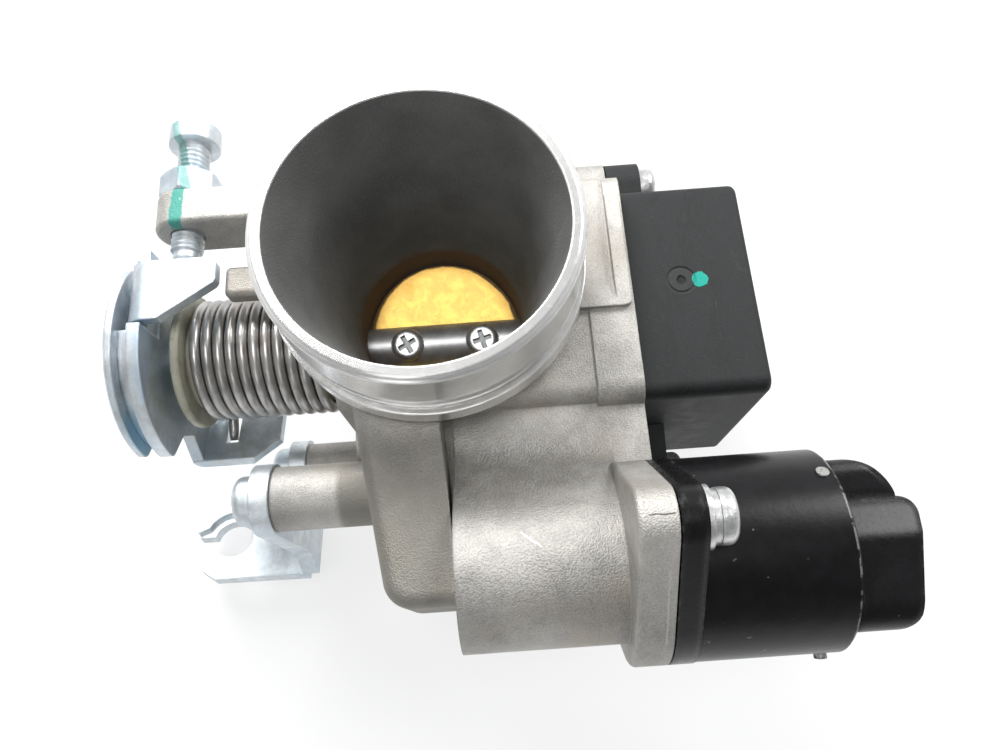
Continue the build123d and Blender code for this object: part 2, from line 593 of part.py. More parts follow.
def return_spring():
    "Torsion spring: right-hand coil with one leg on the drum tab, one on the lug."
    turns = SPRING_TURNS
    coil = Helix(SPRING_PITCH, SPRING_PITCH * turns, SPRING_R, center=(0, 0, 0), direction=(0, 0, 1))
    section = Plane(origin=coil @ 0, z_dir=coil % 0) * RegularPolygon(WIRE_R, 6)
    body = sweep(section, path=coil, is_frenet=True)
    return Pos(SPRING_X0, SHAFT_Y, SHAFT_Z) * Rot(0, 90, 0) * Rot(0, 0, 30) * body


# ---- idle stop -----------------------------------------------------------
def idle_stop_screw():
    z = MID_Z + STOP_Z
    screw = rod_y(STOP_TIP_Y, STOP_TIP_Y + 1.6, 2.35, STOP_X, z)
    screw = chamfer(edges_at(screw, "y", STOP_TIP_Y), 0.4)
    screw += rod_y(STOP_TIP_Y + 1.4, STOP_HEAD_Y + 0.5, M6_R - 0.05, STOP_X, z)
    head = rod_y(STOP_HEAD_Y, STOP_HEAD_Y + 4.2, 4.8, STOP_X, z)
    head = chamfer(edges_at(head, "y", STOP_HEAD_Y + 4.2), 0.5)
    head = chamfer(edges_at(head, "y", STOP_HEAD_Y), 0.2)
    head -= Pos(STOP_X, STOP_HEAD_Y + 4.2, z) * Rot(0, 25, 0) * Box(12, 3.6, 1.4)
    return screw + head


def idle_stop_locknut():
    z = MID_Z + STOP_Z
    y0, y1 = ARM_Y1 + SEAT, ARM_Y1 + SEAT + M6_NUT_T
    hexa = along_y(Pos(STOP_X, z) * Rot(0, 0, 30) * RegularPolygon(M6_AF / 2, 6, major_radius=False), y0, y1)
    round_off = rod_y(y0, y1, M6_AF / 2 * 1.14, STOP_X, z)
    round_off = chamfer(round_off.edges().filter_by(GeomType.CIRCLE), 0.55)
    return (hexa & round_off) - rod_y(y0 - 1, y1 + 1, M6_R, STOP_X, z)


# ---- cable bracket --------------------------------------------------------
def shelf_plane():
    "Plane of the cable shelf: x along X, y up its slope towards the front."
    tilt = math.radians(SHELF_TILT)
    return Plane(origin=(0, SHELF_Y, MID_Z + SHELF_Z), x_dir=(1, 0, 0), z_dir=(0, -math.sin(tilt), -math.cos(tilt)))


def cable_bracket():
    x1 = POST_X - SEAT
    x0 = x1 - BRACKET_T
    c = MID_Z
    r1, r2 = POST1_R + 0.6, POST2_R + 0.8
    y1, z1 = POST1[0], c + POST1[1]
    y2, z2 = POST2[0], c + POST2[1]
    tilt = math.radians(SHELF_TILT)

    def slope(v):
        "Point of the shelf's upper face, v up its slope."
        return (SHELF_Y - v * math.cos(tilt), c + SHELF_Z + v * math.sin(tilt))

    web = poly([(y1 - r1, z1), (y1, z1), (y1 + r1 * 0.91, z1 - r1 * 0.42), (y2 - r2 * 0.55, z2 + r2 * 0.83),
                (y2, z2), (y2 + r2, z2), slope(-7.2), slope(10.6), (y1 - r1 - 3.0, z1 - 29.5), (y1 - r1 - 0.3, z1 - 25.0)])
    side = web + Pos(y1, z1) * Circle(r1) + Pos(y2, z2) * Circle(r2)
    plate = along_x(side, x0, x1)
    # shelf: keyhole for the cable adjuster, open to the left
    sp = shelf_plane()
    outline = poly([(x0 + 1.2, -7.0), (-52.6, -7.0), (-56.2, -6.0), (-58.6, -3.6), (-59.9, -0.8), (-59.9, 5.0),
                    (-58.2, 8.2), (-55.0, 10.4), (x0 + 1.2, 10.6)])
    outline = fillet(outline.vertices().group_by(Axis.X)[0], 1.6)
    thick = SHELF_T
    shelf = extrude(sp * outline, thick)
    shelf -= extrude(sp.offset(-2) * (Pos(CABLE_X, CABLE_V) * Circle(CABLE_HOLE_R)), 8)
    shelf -= extrude(sp.offset(-2) * (Pos(-60, CABLE_V + 0.9) * Rectangle(12, 3.4)), 8)
    # the finger behind the slot rolls up to keep the adjuster in
    lip = sp * (Pos(CABLE_X, CABLE_V) * (Circle(8.0) - Circle(6.0)) & poly(
        [(CABLE_X - 12, CABLE_V + 0.2), (CABLE_X - 12, -14), (CABLE_X + 1, -14), (CABLE_X + 1, -4)]))
    shelf += extrude(lip, -1.3)
    plate += shelf
    for (y, h) in (POST1, POST2):
        plate -= rod_x(x0 - 1, x1 + 1, 2.65, y, c + h)
    return one(plate)


def bracket_screws():
    x0 = POST_X - 2 * SEAT - BRACKET_T
    out = []
    for y, h in (POST1, POST2):
        z = MID_Z + h
        head = pan_head_x(x0, -1, 4.6, 4.0, y, z, recess=1.9)
        out.append(head + rod_x(x0, POST_X + 9.5, 2.45, y, z))
    return Compound(children=out)


# ---- position sensor -------------------------------------------------------
def sensor_body():
    top, bottom = MID_Z + SENSOR_TOP, MID_Z + SENSOR_BOTTOM
    box = along_x(slab(-SENSOR_HALF, SENSOR_HALF, bottom, top), SENSOR_X0, SENSOR_X1)
    box = fillet(box.edges().filter_by(Axis.X), 2.4)
    box = fillet(edges_at(box, "x", SENSOR_X1), 1.3)
    box += along_x(sensor_ears(5.0), SENSOR_X0, SENSOR_X0 + EAR_T)
    # connector shroud under the box
    shroud = along_z(slab(38.5, 51.5, -10.5, 10.5, 2.0), bottom - 9.0, bottom + 1.0)
    box += shroud
    box -= along_z(slab(40.0, 50.0, -9.0, 9.0, 1.2), bottom - 10.0, bottom + 2.0)
    # open back for the rotor, screw holes through the ears
    box -= rod_x(SENSOR_X0 - 1, SENSOR_X0 + 7.5, 8.0)
    for y, z in sensor_holes():
        box -= rod_x(SENSOR_X0 - 1, SENSOR_X0 + EAR_T + 1, 2.2, y, z)
    # mould gate mark on the upper face
    ring = Pos(43.2, 0.9) * (Circle(2.6) - Circle(2.2))
    box -= along_z(ring, top - 0.15, top + 1)
    return one(box)


def sensor_rotor():
    rotor = rod_x(SENSOR_X0 + 1.4, SENSOR_X0 + 7.0, 7.0)
    rotor -= along_x(Pos(SHAFT_Y, SHAFT_Z) * Rectangle(5.2, 2.6), SENSOR_X0 + 1.0, SENSOR_X0 + 5.2)
    return rotor


def sensor_seal():
    return rod_x(BOX_X1 - 2.9, SENSOR_X0 - SEAT, 10.8) - rod_x(BOX_X1 - 4, SENSOR_X0 + 1, 8.6)


def sensor_screws():
    x = SENSOR_X0 + EAR_T + SEAT
    out = []
    for y, z in sensor_holes():
        head = pan_head_x(x, 1, 4.0, 3.3, y, z, recess=1.8)
        out.append(head + rod_x(BOX_X1 - 5.0, x, 1.9, y, z))
    return Compound(children=out)


def sensor_terminals():
    z1 = MID_Z + SENSOR_BOTTOM + 2.0
    pins = [Pos(45, y, z1 - 4.0) * Box(0.8, 2.0, 8.0) for y in (-6, -3, 0, 3, 6)]
    return Compound(children=pins)


# ---- idle-air valve ---------------------------------------------------------
def valve_flange():
    x0 = FLANGE_X1 + 0.25
    plate = along_x(flange_outline(VALVE_EAR_R, FLANGE_R), x0, CAN_X0 - SEAT)
    nose = rod_x(24.6, x0 + 1, 9.9, VALVE_Y, VALVE_Z)
    body = plate + nose
    body -= rod_x(24, CAN_X0 + 1, 2.4, VALVE_Y, VALVE_Z)
    body -= rod_x(26.4, CAN_X0 + 1, 8.0, VALVE_Y, VALVE_Z)
    # groove of the radial seal
    g0, g1 = SEAL_GROOVE
    body -= rod_x(g0, g1, 11, VALVE_Y, VALVE_Z) - rod_x(g0 - 1, g1 + 1, SEAL_R, VALVE_Y, VALVE_Z)
    for ey, ez in valve_ears():
        body -= rod_x(x0 - 1, CAN_X0 + 1, 2.2, ey, ez)
    return one(body)


def valve_seal():
    g0, g1 = SEAL_GROOVE
    ring = rod_x(g0 + 0.2, g1 - 0.2, 9.97, VALVE_Y, VALVE_Z)
    return ring - rod_x(g0 - 1, g1 + 1, SEAL_R + FIT, VALVE_Y, VALVE_Z)


def valve_can():
    can = rod_x(CAN_X0, CAN_X1, CAN_R, VALVE_Y, VALVE_Z)
    can = chamfer(edges_at(can, "x", CAN_X1), 0.4)
    can -= rod_x(CAN_X0 - 1, CAN_X1 - 1.0, CAN_R - 1.0, VALVE_Y, VALVE_Z)
    can -= rod_x(CAN_X0, CAN_X1 + 1, 10.6, VALVE_Y, VALVE_Z)
    # crimps that lock the end cap
    for a, rise in ((52, 0.3), (191, 1.0), (300, 0.3)):
        c, s = math.cos(math.radians(a)), math.sin(math.radians(a))
        low, high = CAN_R - 0.4, CAN_R + rise
        can += rod_between((CAN_X1 - 1.9, VALVE_Y + low * c, VALVE_Z + low * s),
                           (CAN_X1 - 1.9, VALVE_Y + high * c, VALVE_Z + high * s), 0.95)
    return one(can)


def valve_coil():
    ring = rod_x(CAN_X0 + 1.0, CAN_X1 - 1.4, CAN_R - 1.2, VALVE_Y, VALVE_Z)
    return ring - rod_x(CAN_X0, CAN_X1, 8.2, VALVE_Y, VALVE_Z)


def valve_rotor():
    rotor = rod_x(CAN_X0 + 2.0, CAN_X1 - 4.0, 7.6, VALVE_Y, VALVE_Z)
    return rotor - rod_x(CAN_X0, CAN_X1, 2.4, VALVE_Y, VALVE_Z)


def valve_pintle():
    stem = rod_x(17.2, 47.0, 2.1, VALVE_Y, VALVE_Z)
    cone = revolve(Plane.XZ * poly([(12.8, 0), (12.8, 2.6), (14.6, 4.6), (16.0, 7.4), (17.4, 7.4), (17.4, 0)]), Axis.X)
    return stem + Pos(0, VALVE_Y, VALVE_Z) * cone


def valve_connector():
    "Moulded end: socket block that opens downwards, with a lobe at the back."
    x0 = CAN_X1 + SEAT
    yc = CONN_Y
    y0, y1 = yc - CONN_HALF, yc + CONN_HALF
    z0, top = VALVE_Z - CONN_DROP, VALVE_Z + CONN_TOP
    side = poly([(y0, z0), (y0, top), (y1 - 5.8, top), (y1, top - 2.2), (y1, z0)])
    side = round_corners(side, [(y0, top)], 4.0)
    side = round_corners(side, [(y1, top - 2.2)], 2.0)
    x1, x2 = CONN_X1, CONN_X1 + CONN_FLARE
    plan = poly([(x0 - 8, y0), (x1, y0), (x2, y1), (x0 - 8, y1)])
    plan = round_corners(plan, [(x1, y0), (x2, y1)], 2.6)
    block = along_x(side, x0, x2 + 1) & along_z(plan, z0 - 1, top + 2)
    lobe = along_x(slab(y1 - 1.4, LOBE_Y, z0 + 3.0, top - 1.8, 2.2), x0, LOBE_X1)
    lobe &= along_z(slab(x0 - 9, LOBE_X1, y1 - 12.0, LOBE_Y, 7.6), z0, top + 2)
    block += lobe
    plug = rod_x(CAN_X1 - 1.0, x0 + 0.5, 10.4, VALVE_Y, VALVE_Z)
    block += plug
    socket = along_z(slab(x0 + 1.4, CONN_X1 - 1.6, yc - 7.6, yc + 7.6, 1.4), VALVE_Z - 13, VALVE_Z + 1.5)
    block -= socket
    for d in PIN_Y:
        block -= Pos((CAN_X1 + CONN_X1) / 2, yc + d, VALVE_Z + 1.5) * Box(0.84, 2.04, 3.0)
    return one(block)


def valve_terminals():
    x = (CAN_X1 + CONN_X1) / 2
    pins = [Pos(x, CONN_Y + d, VALVE_Z - 1.5) * Box(0.8, 2.0, 8.0) for d in PIN_Y]
    return Compound(children=pins)


def valve_rings(offset, thick, outer, inner):
    x0 = CAN_X0 - SEAT + offset
    out = []
    for ey, ez in valve_ears():
        out.append(rod_x(x0, x0 + thick, outer, ey, ez) - rod_x(x0 - 1, x0 + thick + 1, inner, ey, ez))
    return out


def valve_flat_washers():
    return Compound(children=valve_rings(SEAT, 0.8, 4.3, 2.15))


def valve_spring_washers():
    rings = valve_rings(0.8 + 2 * SEAT, 1.0, 3.7, 2.15)
    out = []
    for ring, (ey, ez) in zip(rings, valve_ears()):
        out.append(ring - Pos(CAN_X0 + 1.3, ey - 3.0, ez) * Rot(20, 0, 0) * Box(3, 4, 0.6))
    return Compound(children=out)


def valve_screws():
    x = CAN_X0 - SEAT + 1.8 + 4 * SEAT
    out = []
    for ey, ez in valve_ears():
        head = pan_head_x(x, 1, 3.8, 2.3, ey, ez, recess=1.4)
        out.append(head + rod_x(FLANGE_X0 + 1.6, x, 1.9, ey, ez))
    return Compound(children=out)


PARTS = {
    "throttle_housing": throttle_housing,
    "throttle_shaft": throttle_shaft,
    "throttle_plate": throttle_plate,
    "plate_screws": plate_screws,
    "shaft_bush_left": lambda: shaft_bush(BOSS_X0 + 2.2, BOSS_X0 + 5.9),
    "shaft_bush_right": lambda: shaft_bush(BOX_X1 - 8.9, BOX_X1 - 5.4),
    "shaft_seal_left": lambda: shaft_seal(BOSS_X0 + 0.1, BOSS_X0 + 2.1),
    "shaft_seal_right": lambda: shaft_seal(BOX_X1 - 5.3, BOX_X1 - 3.3),
    "drum_inner_plate": drum_inner_plate,
    "drum_outer_plate": drum_outer_plate,
    "drum_groove_ring": drum_groove_ring,
    "drum_hub": drum_hub,
    "drum_lock_washer": drum_lock_washer,
    "drum_nut": drum_nut,
    "spring_bush_outer": spring_bush_outer,
    "spring_bush_inner": spring_bush_inner,
    "return_spring": return_spring,
    "idle_stop_screw": idle_stop_screw,
    "idle_stop_locknut": idle_stop_locknut,
    "cable_bracket": cable_bracket,
    "bracket_screws": bracket_screws,
    "sensor_body": sensor_body,
    "sensor_rotor": sensor_rotor,
    "sensor_seal": sensor_seal,
    "sensor_screws": sensor_screws,
    "sensor_terminals": sensor_terminals,
    "valve_flange": valve_flange,
    "valve_seal": valve_seal,
    "valve_can": valve_can,
    "valve_coil": valve_coil,
    "valve_rotor": valve_rotor,
    "valve_pintle": valve_pintle,
    "valve_connector": valve_connector,
    "valve_terminals": valve_terminals,
    "valve_flat_washers": valve_flat_washers,
    "valve_spring_washers": valve_spring_washers,
    "valve_screws": valve_screws,
}

os.makedirs("parts", exist_ok=True)
for name, make in PARTS.items():
    export_step(make(), f"parts/{name}.step")
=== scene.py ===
import json
import math

import bmesh
import bpy
from bpy.props import FloatProperty, FloatVectorProperty, IntProperty, PointerProperty
from mathutils import Matrix, Vector


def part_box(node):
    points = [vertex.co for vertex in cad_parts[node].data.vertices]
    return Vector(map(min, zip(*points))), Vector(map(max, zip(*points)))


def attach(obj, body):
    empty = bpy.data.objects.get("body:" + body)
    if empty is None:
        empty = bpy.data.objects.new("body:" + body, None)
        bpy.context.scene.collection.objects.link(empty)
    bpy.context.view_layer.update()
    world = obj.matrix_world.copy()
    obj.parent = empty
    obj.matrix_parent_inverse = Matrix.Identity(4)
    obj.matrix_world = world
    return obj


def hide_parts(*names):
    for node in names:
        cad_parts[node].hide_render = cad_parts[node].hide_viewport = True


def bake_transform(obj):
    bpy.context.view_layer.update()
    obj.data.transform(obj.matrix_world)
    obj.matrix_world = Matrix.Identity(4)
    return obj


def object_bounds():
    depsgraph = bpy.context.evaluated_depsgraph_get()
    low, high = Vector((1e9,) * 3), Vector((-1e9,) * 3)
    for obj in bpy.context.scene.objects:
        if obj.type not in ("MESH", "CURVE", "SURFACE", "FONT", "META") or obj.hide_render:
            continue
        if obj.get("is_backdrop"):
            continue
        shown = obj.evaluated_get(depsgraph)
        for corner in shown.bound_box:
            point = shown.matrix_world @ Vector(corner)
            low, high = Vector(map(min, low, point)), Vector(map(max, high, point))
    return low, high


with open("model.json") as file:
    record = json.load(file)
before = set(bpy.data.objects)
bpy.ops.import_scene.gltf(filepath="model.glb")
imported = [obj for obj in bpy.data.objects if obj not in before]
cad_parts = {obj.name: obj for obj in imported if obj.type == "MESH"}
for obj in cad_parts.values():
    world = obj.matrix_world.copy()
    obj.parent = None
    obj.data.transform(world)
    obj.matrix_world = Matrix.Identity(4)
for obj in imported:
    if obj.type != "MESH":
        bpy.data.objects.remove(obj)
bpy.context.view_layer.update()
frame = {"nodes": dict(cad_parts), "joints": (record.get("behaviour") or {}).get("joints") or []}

bl_info = {
    "name": "Throttle Body",
    "version": (1, 0, 0),
    "blender": (4, 5, 0),
    "location": "3D View > Sidebar > Throttle Body",
    "description": "Dresses a cable-operated throttle body in cast, plated and moulded finishes",
    "category": "Object",
}

MM = 0.001
NODES = frame["nodes"]
SHAFT = Vector(next(j for j in frame["joints"] if j["name"] == "throttle_turn")["pos_m"])
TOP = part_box("throttle_housing")[1].z

# ---- places that finishes and pieces are lined up with, in metres --------------
# wall of the inlet cone, turned part of the inlet spigot, and brown band above the plate
CONE_FOOT, CONE_SLOPE, THROAT = 0.0489, 0.1903, 0.0155
RIM_FOOT, RIM_RADIUS = TOP - 0.0179, 0.0256
VARNISH_Z = (0.0415, 0.0496)
# casting: painted shade on the duct beside the valve, flash and cold shut at its flange, scratch on the
# boss, painted arm
DUCT_X, DUCT_Y = (-0.0200, 0.0018), (-0.0290, -0.0240)
FLASH_X, FLASH_Y = (0.03035, 0.03062), (-0.0590, -0.0500)
SEAM_X, SEAM_Y = (0.0278, 0.0312), (-0.04280, -0.04262)
SCRATCH_X, SCRATCH_Y = (0.0118, 0.0142), (-0.0336, -0.0333)
ARM_PAINT_X, ARM_PAINT_Y = (-0.0474, -0.0452), (0.0172, 0.0262)
# drilled air passage, from the valve's end to the bore's
PASSAGE = (Vector((0.0170, -0.0417, 0.0549)), Vector((0.0050, -0.0110, 0.0282)))
# throttle plate on its idle stop, its screws beside the bore's axis, and their heads above the shaft's
PLATE_TILT = math.radians(16)
PLATE_SCREW_X, PLATE_SCREW_TOP = 0.00725, 0.00512
# drum: level and two sides of the folded stop tab, and the floor of the cable groove
FOLD_Z, FOLD_OUTER_X, FOLD_INNER_X = (0.0535, 0.0545), (-0.0562, -0.0547), (-0.0528, -0.0510)
GROOVE_X, GROOVE_Z = (-0.0572, -0.0545), (0.0480, 0.0530)
# sealing paint that ran down the locknut
NUT_PAINT_X, NUT_PAINT_Y, NUT_PAINT_Z = (-0.0463, -0.0446), (0.0245, 0.0250), (0.0560, 0.0575)
# idle-air valve: its axis as y and z, and the can's radius at the crimps
VALVE_AXIS, CAN_RADIUS = (-0.0467, 0.0599), 0.0154
# moulding gate on the position sensor, as x and y
SENSOR_GATE = (0.0432, 0.0009)
# stage
CAMERA_PLACE = Vector((0.01094, -0.05832, TOP + 0.09565))
LAMP_AIM = Vector((0, 0, 0.04))
LAMPS = (  # name, place, width, watts
    ("key", (-0.20, 0.48, 0.50), 0.42, 5.7),
    ("fill", (0.38, 0.30, 0.45), 0.30, 2.2),
    ("front", (-0.20, -0.55, 0.42), 0.30, 0.4),
    ("ceiling", (-0.05, -0.09, 0.78), 0.36, 1.8),
)


# ---- shader maths --------------------------------------------------------------
class Field:
    """A number, colour or vector that changes over a surface: one output socket."""

    def __init__(self, tree, socket):
        self.tree, self.socket = tree, socket

    def math(self, operation, a, b=0.0):
        "One step of arithmetic as a node."
        return self.tree.node("ShaderNodeMath", {"operation": operation}, {0: a, 1: b})

    def __add__(self, other):
        return self.math("ADD", self, other)

    def __sub__(self, other):
        return self.math("SUBTRACT", self, other)

    def __rsub__(self, other):
        return self.math("SUBTRACT", other, self)

    def __mul__(self, other):
        return self.math("MULTIPLY", self, other)

    def __pow__(self, other):
        return self.math("POWER", self, other)

    def __abs__(self):
        return self.math("ABSOLUTE", self)

    __radd__, __rmul__ = __add__, __mul__

    def at_most(self, other):
        return self.math("MINIMUM", self, other)

    def at_least(self, other):
        return self.math("MAXIMUM", self, other)


class Tree:
    """The node tree of a material or a world, and the single method that makes every node in it."""

    def __init__(self, owner):
        owner.use_nodes = True
        self.owner, self.nodes, self.links = owner, owner.node_tree.nodes, owner.node_tree.links
        self.nodes.clear()

    def node(self, kind, settings=None, sockets=None, out=0):
        "One output of a new node. Its settings come first, then each socket gets a value or a link."
        made = self.nodes.new(kind)
        for key, value in (settings or {}).items():
            setattr(made, key, value)
        for key, value in (sockets or {}).items():
            if isinstance(value, Field):
                self.links.new(value.socket, made.inputs[key])
            else:
                made.inputs[key].default_value = value
        return Field(self, made.outputs[out]) if made.outputs else None

    def separate(self, vector):
        "The vector's x, y and z."
        parts = self.node("ShaderNodeSeparateXYZ", {}, {0: vector})
        return [Field(self, socket) for socket in parts.socket.node.outputs]


class Finish(Tree):
    """One material, with the fields and masks that its colours are mixed by."""

    def __init__(self, name):
        super().__init__(bpy.data.materials.new(name))
        self.place = self.node("ShaderNodeTexCoord", out="Object")
        self.x, self.y, self.z = self.separate(self.place)

    def rise(self, value, low, high):
        "0 below low, 1 above high, smooth in between."
        return self.node("ShaderNodeMapRange", {"interpolation_type": "SMOOTHSTEP"},
                         {"Value": value, "From Min": low, "From Max": high})

    def fall(self, value, low, high):
        "1 below low, 0 above high."
        return 1 - self.rise(value, low, high)

    def band(self, value, low, high, soft):
        "1 between low and high, with soft ends."
        return self.rise(value, low - soft, low + soft) * self.fall(value, high - soft, high + soft)

    def blend(self, mask, a, b):
        "Colour a where mask is 0, colour b where it is 1."
        return self.node("ShaderNodeMix", {"data_type": "RGBA"}, {0: mask, 6: a, 7: b}, out=2)

    def tones(self, field, low, high, tint, dark, light):
        "Two tones of one tint: dark where the field is below low, light where it is above high."
        return self.blend(self.rise(field, low, high), shade(tint, dark), shade(tint, light))

    def stretch(self, x, y, z):
        "The place, scaled along each axis: small factors draw marks out."
        return self.node("ShaderNodeVectorMath", {"operation": "MULTIPLY"}, {0: self.place, 1: (x, y, z)})

    def noise(self, size, detail=2.0, rough=0.5, along=None, twist=0.0):
        "Cloudy lumps of about one size, from 0 to 1."
        return self.node("ShaderNodeTexNoise", {}, {"Vector": along or self.place, "Scale": 1 / size,
                                                    "Detail": detail, "Roughness": rough,
                                                    "Distortion": twist})

    def spots(self, size):
        "Cells of one size: 0 at the middle of each, rising to its rim."
        return self.node("ShaderNodeTexVoronoi", {}, {"Vector": self.place, "Scale": 1 / size})

    def dots(self, size, low, high):
        "1 on small scattered dots."
        return self.fall(self.spots(size), low, high)

    def dot(self, a, b):
        "How far vector a reaches along vector b."
        return self.node("ShaderNodeVectorMath", {"operation": "DOT_PRODUCT"}, {0: a, 1: b}, out="Value")

    def waves(self, along, length):
        "Ripples of one length, from -1 to 1."
        return self.node("ShaderNodeMath", {"operation": "SINE"}, {0: along * (2 * math.pi / length)})

    def from_axis(self, u, v, u0, v0):
        "Distance from the point u0, v0 in the plane of u and v."
        return ((u - u0) ** 2 + (v - v0) ** 2) ** 0.5

    def rounded(self, radius):
        "The surface's normal, with sharp edges rounded off."
        return self.node("ShaderNodeBevel", {"samples": 4}, {"Radius": radius})

    def wear(self, radius):
        "1 along the edges, 0 on the flats."
        flat = self.node("ShaderNodeNewGeometry", out="Normal")
        return self.rise(1 - self.dot(self.rounded(radius), flat), 0.01, 0.12)

    def bump(self, height, depth, normal=None):
        "A normal tilted by the height, on top of another one if it is given."
        sockets = {"Height": height, "Distance": depth}
        if normal:
            sockets["Normal"] = normal
        return self.node("ShaderNodeBump", {}, sockets)

    def done(self, **sockets):
        "The material, with the principled shader's sockets given by name."
        names = {key.replace("_", " ").title().replace("Ior", "IOR"): value
                 for key, value in sockets.items()}
        return self.show(self.node("ShaderNodeBsdfPrincipled", {}, names))

    def show(self, shader):
        "The material, with the shader on its surface."
        self.node("ShaderNodeOutputMaterial", {}, {"Surface": shader})
        return self.owner


def rgb(colour):
    "The colour with its alpha."
    return (*colour[:3], 1.0)


def shade(colour, factor):
    "The colour made darker or lighter, with its alpha."
    return (*(min(1.0, c * factor) for c in colour[:3]), 1.0)


# ---- tints that age the finishes, and painted shade, highlight and reflection, as red, green, blue and alpha ---
# cast aluminium
DUCT_SHADE = (0.155, 0.148, 0.122, 1)
TARNISH = (0.33, 0.285, 0.225, 1)
COOL_CAST = (0.36, 0.37, 0.39, 1)
RIM_SMUDGE = (0.42, 0.41, 0.39, 1)
FLASH = (0.70, 0.69, 0.65, 1)
COLD_SHUT = (0.06, 0.055, 0.05, 1)
FRESH_CUT = (0.95, 0.93, 0.88, 1)
VARNISH = (0.17, 0.105, 0.055, 1)
# zinc plating
ZINC_BLUE = (0.40, 0.50, 0.58, 1)
ZINC_YELLOW = (0.58, 0.54, 0.44, 1)
ZINC_SPECK = (0.13, 0.13, 0.13, 1)
BEND_VIOLET = (0.50, 0.44, 0.48, 1)
BEND_BLUE = (0.45, 0.58, 0.74, 1)
GROOVE_BLUE = (0.33, 0.52, 0.64, 1)
# brass, steel and copper
BRASS_STAIN = (0.62, 0.33, 0.06, 1)
BRASS_DOT = (0.34, 0.17, 0.04, 1)
BRASS_BROWN = (0.46, 0.24, 0.05, 1)
PLATE_EDGE_DEPOSIT_AND_SHADE = (0.10, 0.055, 0.02, 1)
SHAFT_STAIN = (0.24, 0.21, 0.17, 1)
SCREW_STAIN = (0.30, 0.27, 0.22, 1)
RECESS_SHADE = (0.07, 0.08, 0.075, 1)
WIRE_REFLECTION = (0.30, 0.20, 0.15, 1)
COPPER_DARK = (0.30, 0.11, 0.04, 1)
COPPER_LIGHT = (0.62, 0.27, 0.11, 1)
# mouldings and black paint
NYLON_STAIN = (0.26, 0.235, 0.17, 1)
SENSOR_DUST = (0.12, 0.12, 0.12, 1)
SENSOR_EDGE = (0.06, 0.064, 0.064, 1)
GATE_HALO = (0.045, 0.048, 0.048, 1)
GATE_PIT = (0.002, 0.002, 0.002, 1)
BARE_METAL = (0.50, 0.49, 0.47, 1)
GLOSS_RUB_AND_SHEEN = (0.20, 0.20, 0.20, 1)


# ---- finishes ------------------------------------------------------------------
def cast_aluminium(c):
    """Blasted casting: speckled skin with painted glints, painted shade on the duct, sooty air passage
    darkened further as painted shade, bright turned rim and a dab of paint.
    """
    f = Finish("cast_aluminium")
    x, y, z = f.x, f.y, f.z
    radius = f.from_axis(x, y, 0, 0)
    # the passage: everything nearer to the axis than the cone's wall
    cone = (z - CONE_FOOT).at_least(0.0) * CONE_SLOPE + THROAT
    inside = f.fall(radius - cone, -0.0001, 0.0001) * f.fall(z, TOP - 0.00030, TOP - 0.00020)
    turned_part = f.rise(z, RIM_FOOT, RIM_FOOT + 0.0005) * f.fall(radius, RIM_RADIUS, RIM_RADIUS + 0.0001)
    machined = turned_part * (1 - inside)
    grain = f.noise(0.00030, 3.0, 0.7)
    stipple = f.rise(f.spots(0.00030), 0.05, 0.75)
    pits = stipple * 0.5 + f.rise(grain, 0.36, 0.64) * 0.5
    mottle = f.noise(0.0030, 4.0, 0.6)
    cloud = f.noise(0.017, 3.0, 0.5)
    tone = pits * 0.50 + f.rise(mottle, 0.3, 0.7) * 0.20 + f.rise(cloud, 0.3, 0.7) * 0.44
    colour = f.blend(tone, shade(c.casting, 0.52), shade(c.casting, 1.38))
    # painted glints: bright dots that stand in for light sparkling off the blasted grain
    painted_glint = f.dots(0.00062, 0.05, 0.13)
    colour = f.blend(painted_glint * 0.35, colour, shade(c.casting, 2.0))
    # painted shade, tinted brown, on the front of the duct under the inlet lip
    duct = f.band(x, *DUCT_X, 0.0008) * f.fall(y, *DUCT_Y)
    colour = f.blend(duct * 0.70, colour, DUCT_SHADE)
    tarnish = f.rise(f.noise(0.012, 3.0, 0.55), 0.50, 0.72)
    colour = f.blend(tarnish * 0.40, colour, TARNISH)
    cool = f.rise(f.noise(0.021, 2.0, 0.5, twist=0.4), 0.52, 0.70)
    colour = f.blend(cool * 0.30, colour, COOL_CAST)
    # edges rubbed bright in handling
    colour = f.blend(f.wear(0.0003) * 0.16, colour, shade(c.casting, 1.7))
    colour, marks = casting_marks(f, colour)
    lines = f.waves(z, 0.52 * MM)
    rim_tone = f.noise(0.0016, 3.0, 0.6, along=f.stretch(1, 1, 9)) * 0.7 + lines * 0.05
    rim = f.tones(rim_tone, 0.25, 0.6, c.machined, 0.90, 1.12)
    smudge = f.rise(f.noise(0.0062, 3.0, 0.5), 0.56, 0.74) * f.fall(z, TOP - 0.0008, TOP - 0.0002)
    rim = f.blend(smudge * 0.35, rim, RIM_SMUDGE)
    colour = f.blend(machined, colour, rim)
    # the inside of the cone: a darker wall, partly grime and partly painted shade
    colour = f.blend(inside, colour, passage_wall(f, c, radius, grain))
    # paint mark across the stop arm
    edge = (f.noise(0.0017, 3.0) - 0.5) * 0.0012
    dab = f.band(x - (y - 0.0173) * 0.07 + edge, *ARM_PAINT_X, 0.00015) * f.band(y, *ARM_PAINT_Y, 0.0004)
    dab = dab * f.rise(z, 0.0585, 0.0600) * (1 - f.rise(f.noise(0.0006, 3.0), 0.62, 0.70) * 0.6)
    colour = f.blend(dab * 0.88, colour, rgb(c.paint))
    rough = 0.50 + pits * 0.12 * (1 - machined) - machined * 0.25 + inside * 0.12
    metal = 0.80 - inside * 0.45 - dab * 0.75
    height = (stipple * 0.75 + grain * 0.7 + mottle * 0.3) * (1 - machined) + lines * machined * 0.12 + marks
    normal = f.bump(height, 0.000055, f.rounded(0.0004))
    return f.done(base_color=colour, metallic=metal, roughness=rough, normal=normal)


